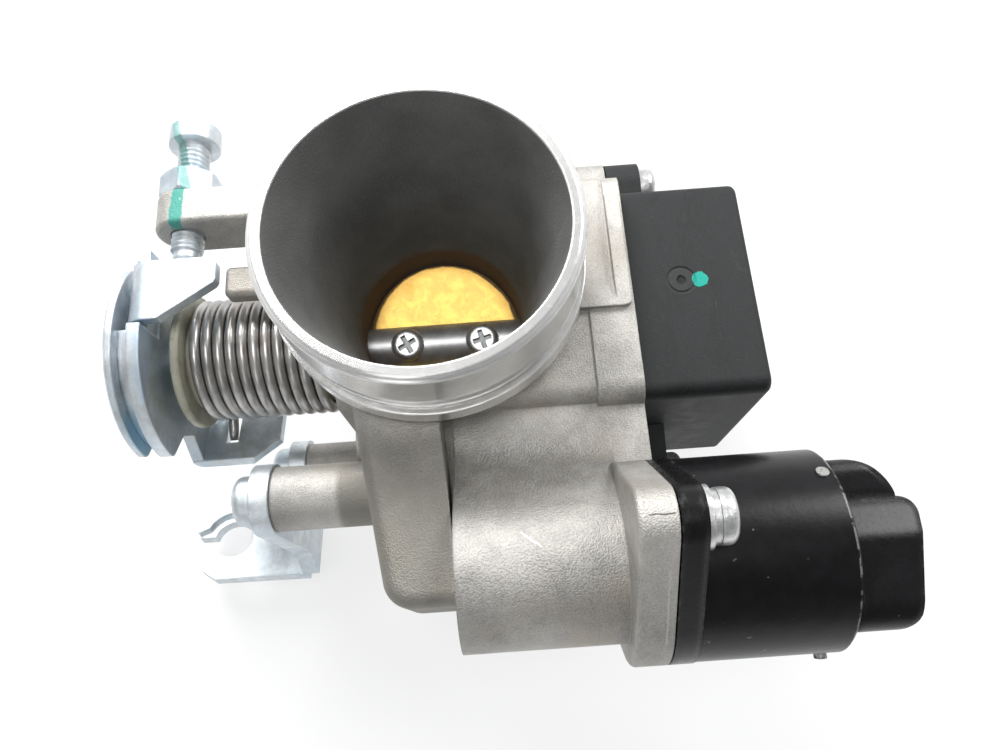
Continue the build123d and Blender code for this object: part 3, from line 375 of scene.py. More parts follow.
def casting_marks(f, colour):
    "Flash beside the valve flange's edge, a cold-shut line across it, and a scratch on the boss."
    x, y, z = f.x, f.y, f.z
    wander = (f.noise(0.0012, 3.0) - 0.5) * 0.0005
    flash = f.band(x + wander, *FLASH_X, 0.00006) * f.band(y, *FLASH_Y, 0.0003)
    seam = f.band(y + x * 0.03 + wander, *SEAM_Y, 0.00005) * f.band(x, *SEAM_X, 0.0003)
    seam = seam * f.rise(z, 0.070, 0.072)
    scratch = f.band(y + x * 0.8 + wander * 2, *SCRATCH_Y, 0.00006) * f.band(x, *SCRATCH_X, 0.0005)
    scratch = scratch * f.rise(z, 0.066, 0.067) * f.fall(y, -0.040, -0.039)
    colour = f.blend(flash * 0.35, colour, FLASH)
    colour = f.blend(seam * 0.8, colour, COLD_SHUT)
    colour = f.blend(scratch * 0.9, colour, FRESH_CUT)
    return colour, flash * 1.6 - seam * 1.2


def passage_wall(f, c, radius, grain):
    """Dusty wall of the inlet cone, darker than the casting partly from grime and partly as painted shade:
    dotted soot, and a varnish band above the plate.
    """
    soot = f.rise(f.noise(0.009, 3.0, 0.5), 0.3, 0.72)
    wall = f.blend(soot, shade(c.passage, 0.84), shade(c.passage, 1.12))
    dust = f.dots(0.00050, 0.12, 0.24)
    wall = f.blend(dust * 0.35, wall, shade(c.passage, 2.1))
    wall = f.blend(f.rise(grain, 0.5, 0.72) * 0.3, wall, shade(c.passage, 0.5))
    ragged = (f.noise(0.0016, 3.0) - 0.5) * 0.0022
    brown = f.band(f.z + ragged, *VARNISH_Z, 0.0010)
    return f.blend(brown * 0.85, wall, VARNISH)


def plated(name, tint, fold=False, paint=None):
    "Bright zinc over stamped or turned steel."
    f = Finish(name)
    fine = f.noise(0.0003, 4.0, 0.7)
    patch = f.noise(0.0030, 4.0, 0.6)
    drift = f.noise(0.012, 2.0, 0.5)
    colour = f.tones(patch, 0.32, 0.7, tint, 0.80, 1.12)
    colour = f.blend(f.rise(drift, 0.45, 0.68) * 0.5, colour, ZINC_BLUE)
    warm = f.rise(f.noise(0.006, 3.0, 0.5, twist=0.6), 0.58, 0.74)
    colour = f.blend(warm * 0.35, colour, ZINC_YELLOW)
    speck = f.dots(0.0011, 0.05, 0.16)
    colour = f.blend(speck * f.rise(patch, 0.4, 0.6) * 0.65, colour, ZINC_SPECK)
    if fold:
        # the plating was stretched where the stop tab folds over
        bend = f.rise(f.z, *FOLD_Z) * f.rise(fine + patch * 0.4, 0.35, 0.75)
        colour = f.blend(bend * f.band(f.x, *FOLD_OUTER_X, 0.0003) * 0.7, colour, BEND_VIOLET)
        colour = f.blend(bend * f.band(f.x, *FOLD_INNER_X, 0.0004) * 0.6, colour, BEND_BLUE)
        groove = f.band(f.x, *GROOVE_X, 0.0002) * f.fall(f.z, *GROOVE_Z)
        colour = f.blend(groove * 0.7, colour, GROOVE_BLUE)
    colour = f.blend(f.wear(0.00035) * 0.35, colour, shade(tint, 1.3))
    rough = 0.27 + patch * 0.16 + fine * 0.14
    metal = 0.86
    if paint:
        # sealing paint run down the nut and the side of the screw
        dab = f.band(f.x + (f.y - 0.0282) * 0.22 + (patch - 0.5) * 0.0008, *NUT_PAINT_X, 0.0001)
        dab = dab * f.rise(f.y, *NUT_PAINT_Y) * f.rise(f.z, *NUT_PAINT_Z)
        dab = dab * (1 - f.rise(fine, 0.56, 0.66) * 0.7)
        colour = f.blend(dab * 0.55, colour, rgb(paint))
        rough = rough + dab * 0.1
        metal = metal - dab * 0.5
    normal = f.bump(fine * 0.6 + patch * 0.7, 0.00006, f.rounded(0.0006))
    return f.done(base_color=colour, metallic=metal, roughness=rough, normal=normal)


def brass(c):
    """Plain brass with stains that gather towards the edge, which is almost black: deposit, and painted
    shade from the bore wall.
    """
    f = Finish("brass")
    radius = f.from_axis(f.x, f.y, 0, 0)
    stain = f.noise(0.0028, 5.0, 0.62, twist=0.5)
    fine = f.noise(0.00035, 3.0, 0.6)
    colour = f.tones(stain, 0.35, 0.65, c.brass, 0.76, 1.16)
    colour = f.blend(f.rise(f.noise(0.0052, 4.0, 0.6), 0.57, 0.74) * 0.6, colour, BRASS_STAIN)
    dots = f.dots(0.0014, 0.05, 0.15)
    colour = f.blend(dots * 0.5, colour, BRASS_DOT)
    ragged = radius + (stain - 0.5) * 0.0010
    colour = f.blend(f.rise(ragged, 0.0120, 0.0142) * 0.6, colour, BRASS_BROWN)
    # near-black edge: deposit, and painted shade cast by the bore wall
    rim = f.rise(ragged, 0.01395, 0.0144)
    colour = f.blend(rim * 0.92, colour, PLATE_EDGE_DEPOSIT_AND_SHADE)
    rough = 0.36 + stain * 0.14 + rim * 0.2
    normal = f.bump(fine * 0.5 + stain * 0.6, 0.00005)
    return f.done(base_color=colour, metallic=0.72 - rim * 0.3, roughness=rough, normal=normal)


def turned_steel(name, tint, gloss):
    "Ground or turned steel: fine rings round the shaft axis."
    f = Finish(name)
    ring = f.noise(0.0004, 3.0, 0.6, along=f.stretch(1, 0.04, 0.04))
    smear = f.noise(0.0045, 4.0, 0.55)
    colour = f.tones(smear, 0.35, 0.7, tint, 0.78, 1.16)
    colour = f.blend(f.rise(f.noise(0.0021, 4.0, 0.6), 0.62, 0.75) * 0.5, colour, SHAFT_STAIN)
    colour = f.blend(f.wear(0.0002) * 0.3, colour, shade(tint, 1.3))
    return f.done(base_color=colour, metallic=0.75, roughness=gloss + ring * 0.06 + smear * 0.1,
                  normal=f.bump(ring, 0.000008, f.rounded(0.00015)))


def bright_screw(c, name="bright_screw", up=None, top=None):
    "Bright steel screw. With up, the head's axis, and top, its level along it, the two recesses hold grime."
    f = Finish(name)
    fine = f.noise(0.0004, 3.0, 0.6)
    smear = f.noise(0.0019, 4.0, 0.6)
    colour = f.tones(smear, 0.3, 0.7, c.steel, 0.75, 1.25)
    colour = f.blend(f.rise(f.noise(0.001, 3.0), 0.62, 0.74) * 0.4, colour, SCREW_STAIN)
    colour = f.blend(f.wear(0.00025) * 0.3, colour, shade(c.steel, 1.4))
    if up:
        across = Vector((1, 0, 0)).cross(up)
        level, aside = f.dot(f.place, up), f.dot(f.place, -across)
        reach = f.from_axis(abs(f.x), aside, PLATE_SCREW_X, -across.dot(SHAFT))
        recess = f.fall(level, top - 0.0006, top - 0.0002) * f.fall(reach, 0.0019, 0.0020)
        # painted shade: the cross recesses of the heads are darkened
        colour = f.blend(recess * 0.85, colour, RECESS_SHADE)
    return f.done(base_color=colour, metallic=0.80, roughness=0.24 + smear * 0.16,
                  normal=f.bump(fine + smear * 0.5, 0.00004, f.rounded(0.0002)))


def spring_wire(c):
    """Drawn spring steel with reddish-brown patches of painted reflection."""
    f = Finish("spring_wire")
    smear = f.noise(0.0040, 3.0, 0.5)
    fine = f.noise(0.0003, 3.0, 0.65)
    colour = f.tones(smear, 0.35, 0.7, c.wire, 0.80, 1.18)
    # painted reflection: reddish-brown patches over the wire
    reddish_reflection = f.rise(f.noise(0.0050, 4.0, 0.6), 0.54, 0.72)
    colour = f.blend(reddish_reflection * 0.40, colour, WIRE_REFLECTION)
    colour = f.blend(f.rise(fine, 0.5, 0.75) * 0.25, colour, shade(c.wire, 0.55))
    return f.done(base_color=colour, metallic=0.9, roughness=0.27 + smear * 0.10,
                  normal=f.bump(fine, 0.00001))


def natural_nylon(c):
    "Uncoloured nylon, stained where grease reached it."
    f = Finish("natural_nylon")
    drift = f.noise(0.006, 3.0, 0.5)
    fine = f.noise(0.0005, 3.0, 0.6)
    colour = f.tones(drift, 0.35, 0.7, c.nylon, 0.78, 1.10)
    colour = f.blend(f.rise(f.noise(0.0017, 4.0), 0.58, 0.74) * 0.5, colour, NYLON_STAIN)
    return f.done(base_color=colour, roughness=0.38 + fine * 0.15,
                  subsurface_weight=0.1, subsurface_scale=1.0, subsurface_radius=(0.002, 0.0016, 0.001),
                  normal=f.bump(fine, 0.00005, f.rounded(0.0003)))


def matt_moulding(c, gate):
    "Charcoal moulding with flow marks round the place where the mould was filled."
    f = Finish("matt_moulding")
    aside = abs(f.x - gate.x - 0.001)
    flow = f.noise(0.0042, 6.0, 0.62, along=f.stretch(1.0, 0.40, 1.0), twist=1.1)
    fine = f.noise(0.00032, 4.0, 0.7)
    near = f.fall(aside, 0.0030, 0.0085)
    streak = f.rise(flow, 0.44, 0.60)
    colour = f.tones(fine, 0.35, 0.7, c.charcoal, 0.72, 1.35)
    colour = f.blend(streak * near * 0.75, colour, shade(c.charcoal, 0.40))
    colour = f.blend(f.rise(flow, 0.60, 0.70) * 0.5, colour, shade(c.charcoal, 2.0))
    dust = f.dots(0.0015, 0.03, 0.09)
    colour = f.blend(dust * 0.3, colour, SENSOR_DUST)
    colour = f.blend(f.wear(0.0006) * 0.35, colour, SENSOR_EDGE)
    top = f.rise(f.z, gate.z - 0.0004, gate.z - 0.0002)
    away = f.from_axis(f.x, f.y, gate.x, gate.y) + (f.noise(0.0007, 3.0) - 0.5) * 0.0004
    pit = f.fall(away, 0.0005, 0.0009) * top
    halo = f.band(away, 0.0009, 0.0026, 0.0003) * top
    colour = f.blend(halo * 0.28, colour, GATE_HALO)
    colour = f.blend(pit * 0.95, colour, GATE_PIT)
    # drop of paint beside the gate
    reach = f.from_axis(f.x, f.y, gate.x + 0.0033, gate.y - 0.0002) + (f.noise(0.0012, 3.0) - 0.5) * 0.0010
    drop = f.fall(reach, 0.0013, 0.0015) * top
    colour = f.blend(drop, colour, rgb(c.paint))
    rough = 0.50 + fine * 0.16 - streak * near * 0.08 - drop * 0.2
    normal = f.bump(fine * 0.7 + flow * 0.3 - pit * 3 + drop * 1.2, 0.00009, f.rounded(0.0005))
    return f.done(base_color=colour, roughness=rough, specular_ior_level=0.30, normal=normal)


def black_paint(c, end):
    "Satin black over turned steel, worn through along the rolled end and on the crimps."
    f = Finish("black_paint")
    fine = f.noise(0.0005, 3.0, 0.6)
    orange = f.noise(0.0024, 3.0, 0.5)
    colour = f.tones(orange, 0.35, 0.7, c.black, 0.8, 1.5)
    scratch = f.rise(f.noise(0.0009, 2.0, 0.4, along=f.stretch(0.5, 1, 0.6)), 0.735, 0.76)
    scratch = scratch * f.rise(f.noise(0.009, 2.0), 0.5, 0.6)
    nick = f.dots(0.0038, 0.030, 0.050)
    worn = f.band(f.x, end - 0.00055, end - 0.0002, 0.00006) * f.rise(f.noise(0.0013, 3.0), 0.44, 0.54)
    radius = f.from_axis(f.y, f.z, *VALVE_AXIS)
    crimp = f.fall(f.from_axis(f.x, radius, end - 0.0019, CAN_RADIUS), 0.00075, 0.00100)
    crimp = crimp * f.rise(f.noise(0.0006, 3.0), 0.3, 0.5)
    crimp = crimp * f.rise(radius, CAN_RADIUS - 0.00025, CAN_RADIUS - 0.0002)
    metal = (scratch * 0.3 + nick * 0.3 + worn * 0.45 + crimp).at_most(1.0)
    colour = f.blend(metal * 0.75, colour, BARE_METAL)
    rough = 0.25 + fine * 0.08 + metal * 0.1
    normal = f.bump(orange * 0.6 + fine * 0.3 - metal * 0.5, 0.00004, f.rounded(0.0003))
    return f.done(base_color=colour, metallic=metal * 0.7, roughness=rough, specular_ior_level=0.24,
                  normal=normal)


def gloss_moulding(c):
    """Glossy black moulding with soft edges, lightly chipped, its edges grey from rubbing and a painted
    highlight.
    """
    f = Finish("gloss_moulding")
    fine = f.noise(0.0006, 3.0, 0.55)
    flow = f.noise(0.007, 4.0, 0.5, twist=0.8)
    colour = f.tones(flow, 0.35, 0.7, c.black, 0.7, 1.4)
    line = f.rise(f.noise(0.0016, 2.0, 0.4, along=f.stretch(1, 0.07, 0.3)), 0.71, 0.73)
    chip = f.dots(0.0031, 0.025, 0.045)
    # grey along the edges: rubbing, and a painted highlight on the rounded edges
    edge = f.wear(0.0006) * f.rise(f.noise(0.0016, 4.0), 0.50, 0.66)
    rub_and_sheen = (edge * 0.35 + line * 0.2 + chip * 0.35).at_most(1.0)
    colour = f.blend(rub_and_sheen, colour, GLOSS_RUB_AND_SHEEN)
    return f.done(base_color=colour, roughness=0.20 + fine * 0.12 + rub_and_sheen * 0.2, specular_ior_level=0.28,
                  normal=f.bump(flow * 0.7 + fine * 0.2, 0.00005, f.rounded(0.0016)))


def plain_finish(name, colour, metallic, rough):
    "Finish of the hidden inner pieces: two tones, grain and soft edges."
    f = Finish(name)
    drift = f.noise(0.0045, 3.0, 0.55)
    fine = f.noise(0.00045, 3.0, 0.6)
    tone = f.tones(drift, 0.35, 0.7, colour, 0.75, 1.2)
    return f.done(base_color=tone, metallic=metallic, roughness=rough + fine * 0.15,
                  normal=f.bump(fine + drift * 0.5, 0.00004, f.rounded(0.0002)))


def wound_copper():
    "Enamelled winding."
    f = Finish("wound_copper")
    turns = f.waves(f.x, 0.4 * MM)
    tone = f.blend(f.rise(f.noise(0.002, 3.0), 0.35, 0.7), COPPER_DARK, COPPER_LIGHT)
    return f.done(base_color=tone, metallic=0.9, roughness=0.35, normal=f.bump(turns, 0.00008))


# ---- mesh helpers --------------------------------------------------------------
def piece_from(name, vertices, faces, material, smooth=True):
    """A new object of the scene, not yet given a body."""
    mesh = bpy.data.meshes.new(name)
    mesh.from_pydata([tuple(v) for v in vertices], [], faces)
    mesh.validate()
    mesh.update()
    piece = bpy.data.objects.new(name, mesh)
    bpy.context.scene.collection.objects.link(piece)
    if smooth:
        mesh.shade_smooth()
    mesh.materials.append(material)
    return piece


def tube_along(points, radius, sides):
    "Vertices and faces of a round wire that follows the points, with closed ends."
    vertices, faces = [], []
    tangent = (points[1] - points[0]).normalized()
    normal = tangent.orthogonal().normalized()
    count = len(points)
    for i, point in enumerate(points):
        ahead = points[min(i + 1, count - 1)] - points[max(i - 1, 0)]
        turn = tangent.rotation_difference(ahead.normalized())
        tangent, normal = ahead.normalized(), (turn @ normal).normalized()
        side = tangent.cross(normal)
        shrink = 0.8 if i in (0, count - 1) else 1.0
        for k in range(sides):
            a = 2 * math.pi * k / sides
            vertices.append(point + (normal * math.cos(a) + side * math.sin(a)) * radius * shrink)
    for i in range(count - 1):
        for k in range(sides):
            n = (k + 1) % sides
            faces.append((i * sides + k, i * sides + n, (i + 1) * sides + n, (i + 1) * sides + k))
    faces.append(tuple(reversed(range(sides))))
    faces.append(tuple((count - 1) * sides + k for k in range(sides)))
    return vertices, faces


def turned_rings(rings, sides, depth, pitch, y0, y1):
    """Vertices and faces of a body turned about Y from rings of (y, radius). Between y0 and y1 the wall
    carries a screw thread that is cut depth deep."""
    vertices, faces = [], []
    for y, radius in rings:
        fade = max(0.0, min(1.0, (y - y0) / pitch, (y1 - y) / pitch))
        for k in range(sides):
            a = 2 * math.pi * k / sides
            wave = abs(2 * ((y / pitch + k / sides) % 1.0) - 1)
            r = radius - depth * fade * max(0.0, min(1.0, (wave - 0.10) / 0.75))
            vertices.append(Vector((r * math.sin(a), y, r * math.cos(a))))
    for i in range(len(rings) - 1):
        for k in range(sides):
            n = (k + 1) % sides
            faces.append((i * sides + k, (i + 1) * sides + k, (i + 1) * sides + n, i * sides + n))
    faces.append(tuple(range(sides)))
    faces.append(tuple(reversed([(len(rings) - 1) * sides + k for k in range(sides)])))
    return vertices, faces


def cut_block(piece, size, middle, turn):
    "Takes a turned block out of a piece, for good."
    bm = bmesh.new()
    bmesh.ops.create_cube(bm, size=1.0, matrix=Matrix.LocRotScale(middle, turn, size))
    tool_mesh = bpy.data.meshes.new("cutter")
    bm.to_mesh(tool_mesh)
    bm.free()
    tool = bpy.data.objects.new("cutter", tool_mesh)
    bpy.context.scene.collection.objects.link(tool)
    step = piece.modifiers.new("slot", "BOOLEAN")
    step.operation, step.solver, step.object = "DIFFERENCE", "EXACT", tool
    ready = piece.evaluated_get(bpy.context.evaluated_depsgraph_get())
    cut, whole = bpy.data.meshes.new_from_object(ready), piece.data
    piece.modifiers.clear()
    piece.data = cut
    bpy.data.objects.remove(tool)
    bpy.data.meshes.remove(tool_mesh)
    bpy.data.meshes.remove(whole)


def dress(material, *names):
    "Gives carried-over nodes their finish."
    for name in names:
        slots = NODES[name].data.materials
        if not slots:
            slots.append(material)
        for k in range(len(slots)):
            slots[k] = material


# ---- settings ------------------------------------------------------------------
def colour_property(name, text, value):
    return FloatVectorProperty(name=name, description=text, default=value, size=3, min=0, max=1,
                               subtype="COLOR")


def length_property(name, text, value, low, high):
    return FloatProperty(name=name, description=text, default=value, min=low, max=high, unit="LENGTH")


def angle_property(name, text, degrees):
    return FloatProperty(name=name, description=text, default=math.radians(degrees), subtype="ANGLE")


class ThrottleBodyColours(bpy.types.PropertyGroup):
    casting: colour_property("Casting", "Blasted cast aluminium", (0.395, 0.383, 0.360))
    machined: colour_property("Machined rim", "Turned aluminium of the inlet spigot", (0.80, 0.795, 0.78))
    # the passage colour, darker than the casting: partly grime, partly painted shade inside the cone
    passage: colour_property("Air passage", "Inside of the inlet cone", (0.165, 0.167, 0.162))
    brass: colour_property("Brass", "Throttle plate", (0.98, 0.63, 0.16))
    steel: colour_property("Steel", "Shaft and bright screws", (0.60, 0.60, 0.60))
    zinc: colour_property("Zinc", "Plated drum, bracket and stop screw", (0.66, 0.71, 0.74))
    wire: colour_property("Spring wire", "Return spring", (0.46, 0.45, 0.435))
    nylon: colour_property("Nylon", "Spring bushes", (0.42, 0.41, 0.33))
    charcoal: colour_property("Charcoal", "Position sensor", (0.014, 0.0155, 0.016))
    black: colour_property("Black", "Idle-air valve", (0.0035, 0.0035, 0.004))
    paint: colour_property("Paint mark", "Dabs that seal the set screw", (0.0, 0.30, 0.24))


class ThrottleBodySizes(bpy.types.PropertyGroup):
    wire_radius: length_property("Wire radius", "Radius of the spring wire", 1.05 * MM, 0.0002, 0.002)
    coil_radius: length_property("Coil radius", "Centre line of the spring coil", 10.9 * MM, 0.005, 0.02)
    pitch: length_property("Coil pitch", "Pitch of the return spring", 2.2 * MM, 0.001, 0.01)
    turns: IntProperty(name="Turns", description="Whole turns of the return spring", default=11, min=1,
                       max=30)
    thread_pitch: length_property("Thread pitch", "Pitch of the stop screw's thread", 1.0 * MM, 0.0002,
                                  0.003)
    sides: IntProperty(name="Sides", description="Facets round a wire", default=14, min=6, max=64)
    lens: FloatProperty(name="Lens", description="Focal length on a 36 mm sensor", default=27.9, min=10,
                        max=200, unit="CAMERA")
    azimuth: angle_property("Azimuth", "Where the camera stands round the body", 0.9)
    elevation: angle_property("Elevation", "How high the camera looks down from", 70.45)
    roll: angle_property("Roll", "Turn of the camera about its own line of sight", -4.95)


def colours():
    "The colours as set in the panel."
    return bpy.context.scene.throttle_colours


def sizes():
    "The sizes as set in the panel."
    return bpy.context.scene.throttle_sizes


# ---- operators -----------------------------------------------------------------
class THROTTLE_OT_casting(bpy.types.Operator):
    """Cast body: blasted skin, turned rim, dusty passage darkened as painted shade"""
    bl_idname = "throttle.casting"
    bl_label = "Casting"

    def execute(self, context):
        aluminium = cast_aluminium(colours())
        dress(aluminium, "throttle_housing")
        # cast rib under the shelf, round the drilled air passage: its body lies between two short caps
        points = [PASSAGE[0].lerp(PASSAGE[1], t) for t in (0.17, 0.205, 0.73, 0.76)]
        rib = piece_from("air_passage_rib", *tube_along(points, 4.4 * MM, 40), aluminium)
        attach(rib, "housing")
        return {"FINISHED"}


class THROTTLE_OT_butterfly(bpy.types.Operator):
    """Shaft, brass plate and its two screws"""
    bl_idname = "throttle.butterfly"
    bl_label = "Shaft and plate"

    def execute(self, context):
        c = colours()
        dress(turned_steel("ground_shaft", c.steel, 0.30), "throttle_shaft")
        dress(brass(c), "throttle_plate")
        up = Vector((0, -math.sin(PLATE_TILT), math.cos(PLATE_TILT)))
        dress(bright_screw(c, "plate_screw", up, up.dot(SHAFT) + PLATE_SCREW_TOP), "plate_screws")
        return {"FINISHED"}


class THROTTLE_OT_drum(bpy.types.Operator):
    """Cable drum: two stamped plates, groove floor, hub and nut"""
    bl_idname = "throttle.drum"
    bl_label = "Cable drum"

    def execute(self, context):
        c = colours()
        dress(plated("drum_zinc", c.zinc, fold=True), "drum_inner_plate", "drum_outer_plate",
              "drum_groove_ring", "drum_hub", "drum_lock_washer", "drum_nut")
        return {"FINISHED"}


class THROTTLE_OT_spring(bpy.types.Operator):
    """Wound return spring with its two legs, and the nylon bushes inside it"""
    bl_idname = "throttle.spring"
    bl_label = "Return spring"

    def execute(self, context):
        s = sizes()
        x0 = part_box("return_spring")[0].x + s.wire_radius
        # angles at which the wire leaves the coil, for the drum's tab below it and for the cast lug
        a0, a1 = math.radians(196), math.radians(262 + 360 * s.turns)
        drum_leg, lug_leg = 16.0 * MM, 15.5 * MM

        def on_coil(a):
            x = x0 + s.pitch * (a - a0) / (2 * math.pi)
            return Vector((x, SHAFT.y - s.coil_radius * math.sin(a), SHAFT.z + s.coil_radius * math.cos(a)))

        def leg(a, way, length):
            along = Vector((0, -math.cos(a), -math.sin(a))) * way
            return [on_coil(a) + along * length * k / 8 for k in range(1, 9)]

        steps = round((a1 - a0) / (2 * math.pi) * 40)
        points = [on_coil(a0 + (a1 - a0) * i / steps) for i in range(steps + 1)]
        points = leg(a0, -1, drum_leg)[::-1] + points + leg(a1, 1, lug_leg)
        vertices, faces = tube_along(points, s.wire_radius, s.sides)
        spring = piece_from("return_spring_wire", vertices, faces, spring_wire(colours()))
        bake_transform(spring)
        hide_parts("return_spring")
        dress(natural_nylon(colours()), "spring_bush_outer", "spring_bush_inner")
        return {"FINISHED"}


class THROTTLE_OT_idle_stop(bpy.types.Operator):
    """Idle-stop screw with its cut thread, and the locknut"""
    bl_idname = "throttle.idle_stop"
    bl_label = "Idle stop"

    def execute(self, context):
        c, s = colours(), sizes()
        finish = plated("stop_zinc", c.zinc, paint=c.paint)
        dress(finish, "idle_stop_locknut")
        low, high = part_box("idle_stop_screw")
        centre, radius, end = (low + high) / 2, (high.x - low.x) / 2, high.y
        core, crest, dog = 2.40 * MM, 2.93 * MM, 2.35 * MM
        start, under = low.y + 1.6 * MM, end - 4.2 * MM
        # plain tip, threaded shank, head
        rings = [(low.y, dog - 0.4 * MM), (low.y + 0.4 * MM, dog), (start - 0.05 * MM, dog)]
        count = int((under - start) / s.thread_pitch * 10)
        for k in range(count + 1):
            y = start + (under - start) * k / count
            rings.append((y, min(crest, core + (y - start) * 1.2)))
        rings += [(under + 0.01 * MM, radius - 0.3 * MM), (under + 0.25 * MM, radius),
                  (end - 0.5 * MM, radius), (end, radius - 0.5 * MM)]
        vertices, faces = turned_rings(rings, 36, 0.52 * MM, s.thread_pitch, start, under - 0.6 * MM)
        vertices = [v + Vector((centre.x, 0, centre.z)) for v in vertices]
        screw = piece_from("idle_stop_thread", vertices, faces, finish, smooth=False)
        # screwdriver slot across the head
        turn = Matrix.Rotation(math.radians(25), 4, "Y").to_quaternion()
        cut_block(screw, Vector((12 * MM, 3.6 * MM, 1.4 * MM)), Vector((centre.x, end, centre.z)), turn)
        screw.data.shade_smooth()
        screw.data.set_sharp_from_angle(angle=math.radians(32))
        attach(screw, "housing")
        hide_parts("idle_stop_screw")
        return {"FINISHED"}


class THROTTLE_OT_bracket(bpy.types.Operator):
    """Cable bracket and its two screws"""
    bl_idname = "throttle.bracket"
    bl_label = "Cable bracket"

    def execute(self, context):
        c = colours()
        dress(plated("bracket_zinc", c.zinc), "cable_bracket", "bracket_screws")
        return {"FINISHED"}


class THROTTLE_OT_sensor(bpy.types.Operator):
    """Throttle-position sensor, its screws, rotor and terminals"""
    bl_idname = "throttle.sensor"
    bl_label = "Position sensor"

    def execute(self, context):
        c = colours()
        dress(matt_moulding(c, Vector((*SENSOR_GATE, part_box("sensor_body")[1].z))), "sensor_body")
        dress(bright_screw(c), "sensor_screws")
        dress(plain_finish("rotor_moulding", (0.02, 0.02, 0.02), 0.0, 0.3), "sensor_rotor")
        dress(plain_finish("tinned_brass", (0.62, 0.60, 0.52), 1.0, 0.25), "sensor_terminals",
              "valve_terminals")
        return {"FINISHED"}


class THROTTLE_OT_valve(bpy.types.Operator):
    """Idle-air valve: flange, painted can, connector, screws and washers"""
    bl_idname = "throttle.valve"
    bl_label = "Idle-air valve"

    def execute(self, context):
        c = colours()
        dress(black_paint(c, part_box("valve_can")[1].x), "valve_can")
        dress(gloss_moulding(c), "valve_flange", "valve_connector")
        dress(bright_screw(c), "valve_screws", "valve_flat_washers", "valve_spring_washers")
        dress(wound_copper(), "valve_coil")
        dress(plain_finish("magnet_rotor", (0.06, 0.06, 0.065), 0.0, 0.4), "valve_rotor")
        dress(turned_steel("pintle_steel", c.steel, 0.2), "valve_pintle")
        return {"FINISHED"}


class THROTTLE_OT_seals(bpy.types.Operator):
    """Shaft bushes, lip seals and O-rings"""
    bl_idname = "throttle.seals"
    bl_label = "Bushes and seals"

    def execute(self, context):
        dress(plain_finish("sintered_bronze", (0.42, 0.30, 0.16), 0.9, 0.45), "shaft_bush_left",
              "shaft_bush_right")
        dress(plain_finish("seal_rubber", (0.02, 0.02, 0.02), 0.0, 0.55), "shaft_seal_left",
              "shaft_seal_right", "sensor_seal", "valve_seal")
        return {"FINISHED"}


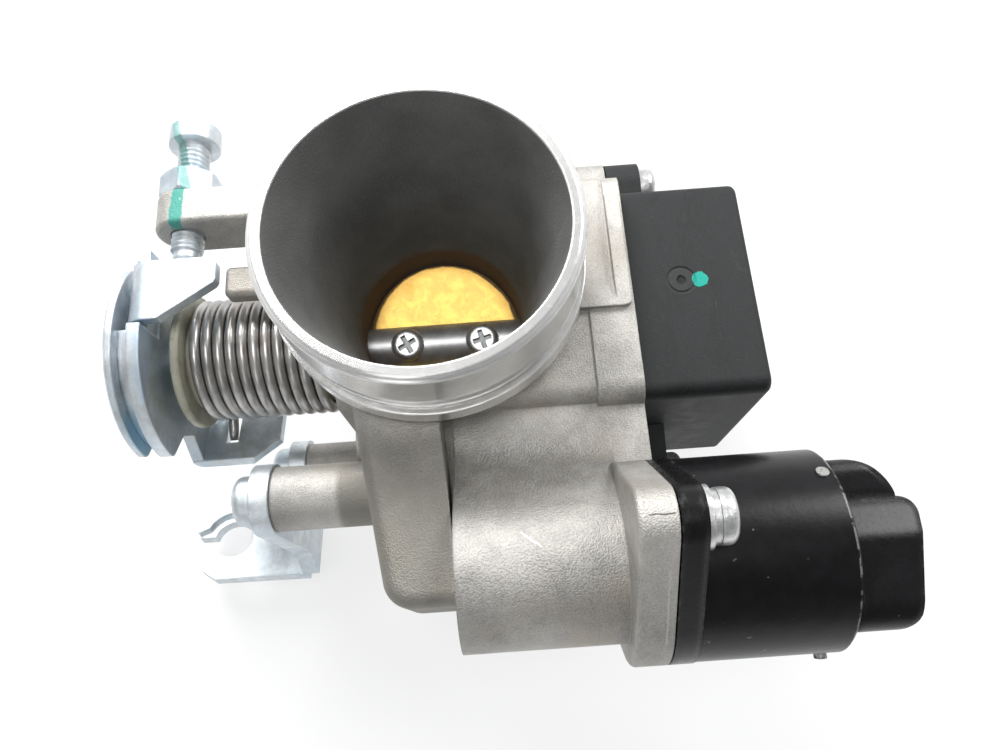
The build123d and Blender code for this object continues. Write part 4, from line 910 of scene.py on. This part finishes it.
class THROTTLE_OT_stage(bpy.types.Operator):
    """Pale floor, soft lamps and the camera"""
    bl_idname = "throttle.stage"
    bl_label = "Stage"

    def execute(self, context):
        scene = context.scene
        self.floor(scene)
        self.sky(scene)
        for lamp in LAMPS:
            self.lamp(scene, *lamp)
        self.camera(scene)
        scene.view_settings.view_transform = "Standard"
        return {"FINISHED"}

    def floor(self, scene):
        "Round sheet of pale paper just under the engine spigot, white to the camera and in reflections."
        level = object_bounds()[0].z - 0.2 * MM
        mesh = bpy.data.meshes.new("floor")
        bm = bmesh.new()
        bmesh.ops.create_circle(bm, cap_ends=True, segments=96, radius=4.0)
        bm.to_mesh(mesh)
        bm.free()
        sheet = bpy.data.objects.new("floor", mesh)
        sheet.location = (0, 0, level)
        scene.collection.objects.link(sheet)
        paper = Finish("floor_paper")
        camera, glossy, through = (paper.node("ShaderNodeLightPath", out=f"Is {kind} Ray")
                                   for kind in ("Camera", "Glossy", "Transmission"))
        seen = camera.at_least(glossy).at_least(through)
        matt = paper.node("ShaderNodeBsdfDiffuse", {}, {"Color": (0.90, 0.90, 0.91, 1)})
        glow = paper.node("ShaderNodeEmission", {}, {"Color": (1, 1, 1, 1), "Strength": 1.0})
        mixed = paper.node("ShaderNodeMixShader", {}, {0: seen * 0.68, 1: matt, 2: glow})
        mesh.materials.append(paper.show(mixed))
        sheet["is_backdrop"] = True

    def sky(self, scene):
        "Room light: white round the horizon and brighter at the back, dimmer overhead."
        scene.world = bpy.data.worlds.new("room")
        room = Tree(scene.world)
        _, y, z = room.separate(room.node("ShaderNodeTexCoord", out="Generated"))

        def ramp(value, low, high, at_low, at_high):
            return room.node("ShaderNodeMapRange", {}, {"Value": value, "From Min": low, "From Max": high,
                                                        "To Min": at_low, "To Max": at_high})

        strength = ramp(z, 0.1, 0.95, 0.92, 0.32) * ramp(y, -0.8, 0.8, 0.40, 1.15)
        back = room.node("ShaderNodeBackground", {}, {"Color": (0.97, 0.985, 1.0, 1), "Strength": strength})
        room.node("ShaderNodeOutputWorld", {}, {"Surface": back})

    def lamp(self, scene, name, place, width, watts):
        light = bpy.data.lights.new(name, "AREA")
        light.shape, light.size, light.energy = "DISK", width, watts
        lamp = bpy.data.objects.new(name, light)
        lamp.location = place
        lamp.rotation_euler = (LAMP_AIM - Vector(place)).to_track_quat("-Z", "Y").to_euler()
        scene.collection.objects.link(lamp)

    def camera(self, scene):
        s = sizes()
        data = bpy.data.cameras.new("camera")
        data.sensor_width, data.lens = 36.0, s.lens
        data.clip_start, data.clip_end = 0.01, 20.0
        camera = bpy.data.objects.new("camera", data)
        back = Vector((math.sin(s.azimuth) * math.cos(s.elevation),
                       -math.cos(s.azimuth) * math.cos(s.elevation), math.sin(s.elevation)))
        right = Vector((math.cos(s.azimuth), math.sin(s.azimuth), 0))
        up = back.cross(right)
        side = right * math.cos(s.roll) + up * math.sin(s.roll)
        above = up * math.cos(s.roll) - right * math.sin(s.roll)
        turned = Matrix((side, above, back)).transposed()
        camera.matrix_world = Matrix.Translation(CAMERA_PLACE) @ turned.to_4x4()
        scene.collection.objects.link(camera)
        scene.camera = camera


STEPS = (THROTTLE_OT_casting, THROTTLE_OT_butterfly, THROTTLE_OT_drum, THROTTLE_OT_spring,
         THROTTLE_OT_idle_stop, THROTTLE_OT_bracket, THROTTLE_OT_sensor, THROTTLE_OT_valve,
         THROTTLE_OT_seals, THROTTLE_OT_stage)


class THROTTLE_PT_panel(bpy.types.Panel):
    """Every step of the throttle body, with its sizes and colours"""
    bl_label = "Throttle Body"
    bl_space_type = "VIEW_3D"
    bl_region_type = "UI"
    bl_category = "Throttle Body"

    def draw(self, context):
        for step in STEPS:
            self.layout.operator(step.bl_idname)
        for group in (context.scene.throttle_colours, context.scene.throttle_sizes):
            for key in group.__annotations__:
                self.layout.prop(group, key)


CLASSES = (ThrottleBodyColours, ThrottleBodySizes, *STEPS, THROTTLE_PT_panel)


def register():
    for kind in CLASSES:
        bpy.utils.register_class(kind)
    bpy.types.Scene.throttle_colours = PointerProperty(type=ThrottleBodyColours)
    bpy.types.Scene.throttle_sizes = PointerProperty(type=ThrottleBodySizes)


def unregister():
    del bpy.types.Scene.throttle_colours
    del bpy.types.Scene.throttle_sizes
    for kind in reversed(CLASSES):
        bpy.utils.unregister_class(kind)


def main():
    register()
    for step in STEPS:
        group, name = step.bl_idname.split(".")
        result = getattr(getattr(bpy.ops, group), name)()
        if "FINISHED" not in result:
            raise RuntimeError(f"{step.bl_label} did not finish")


if __name__ == "__main__":
    main()
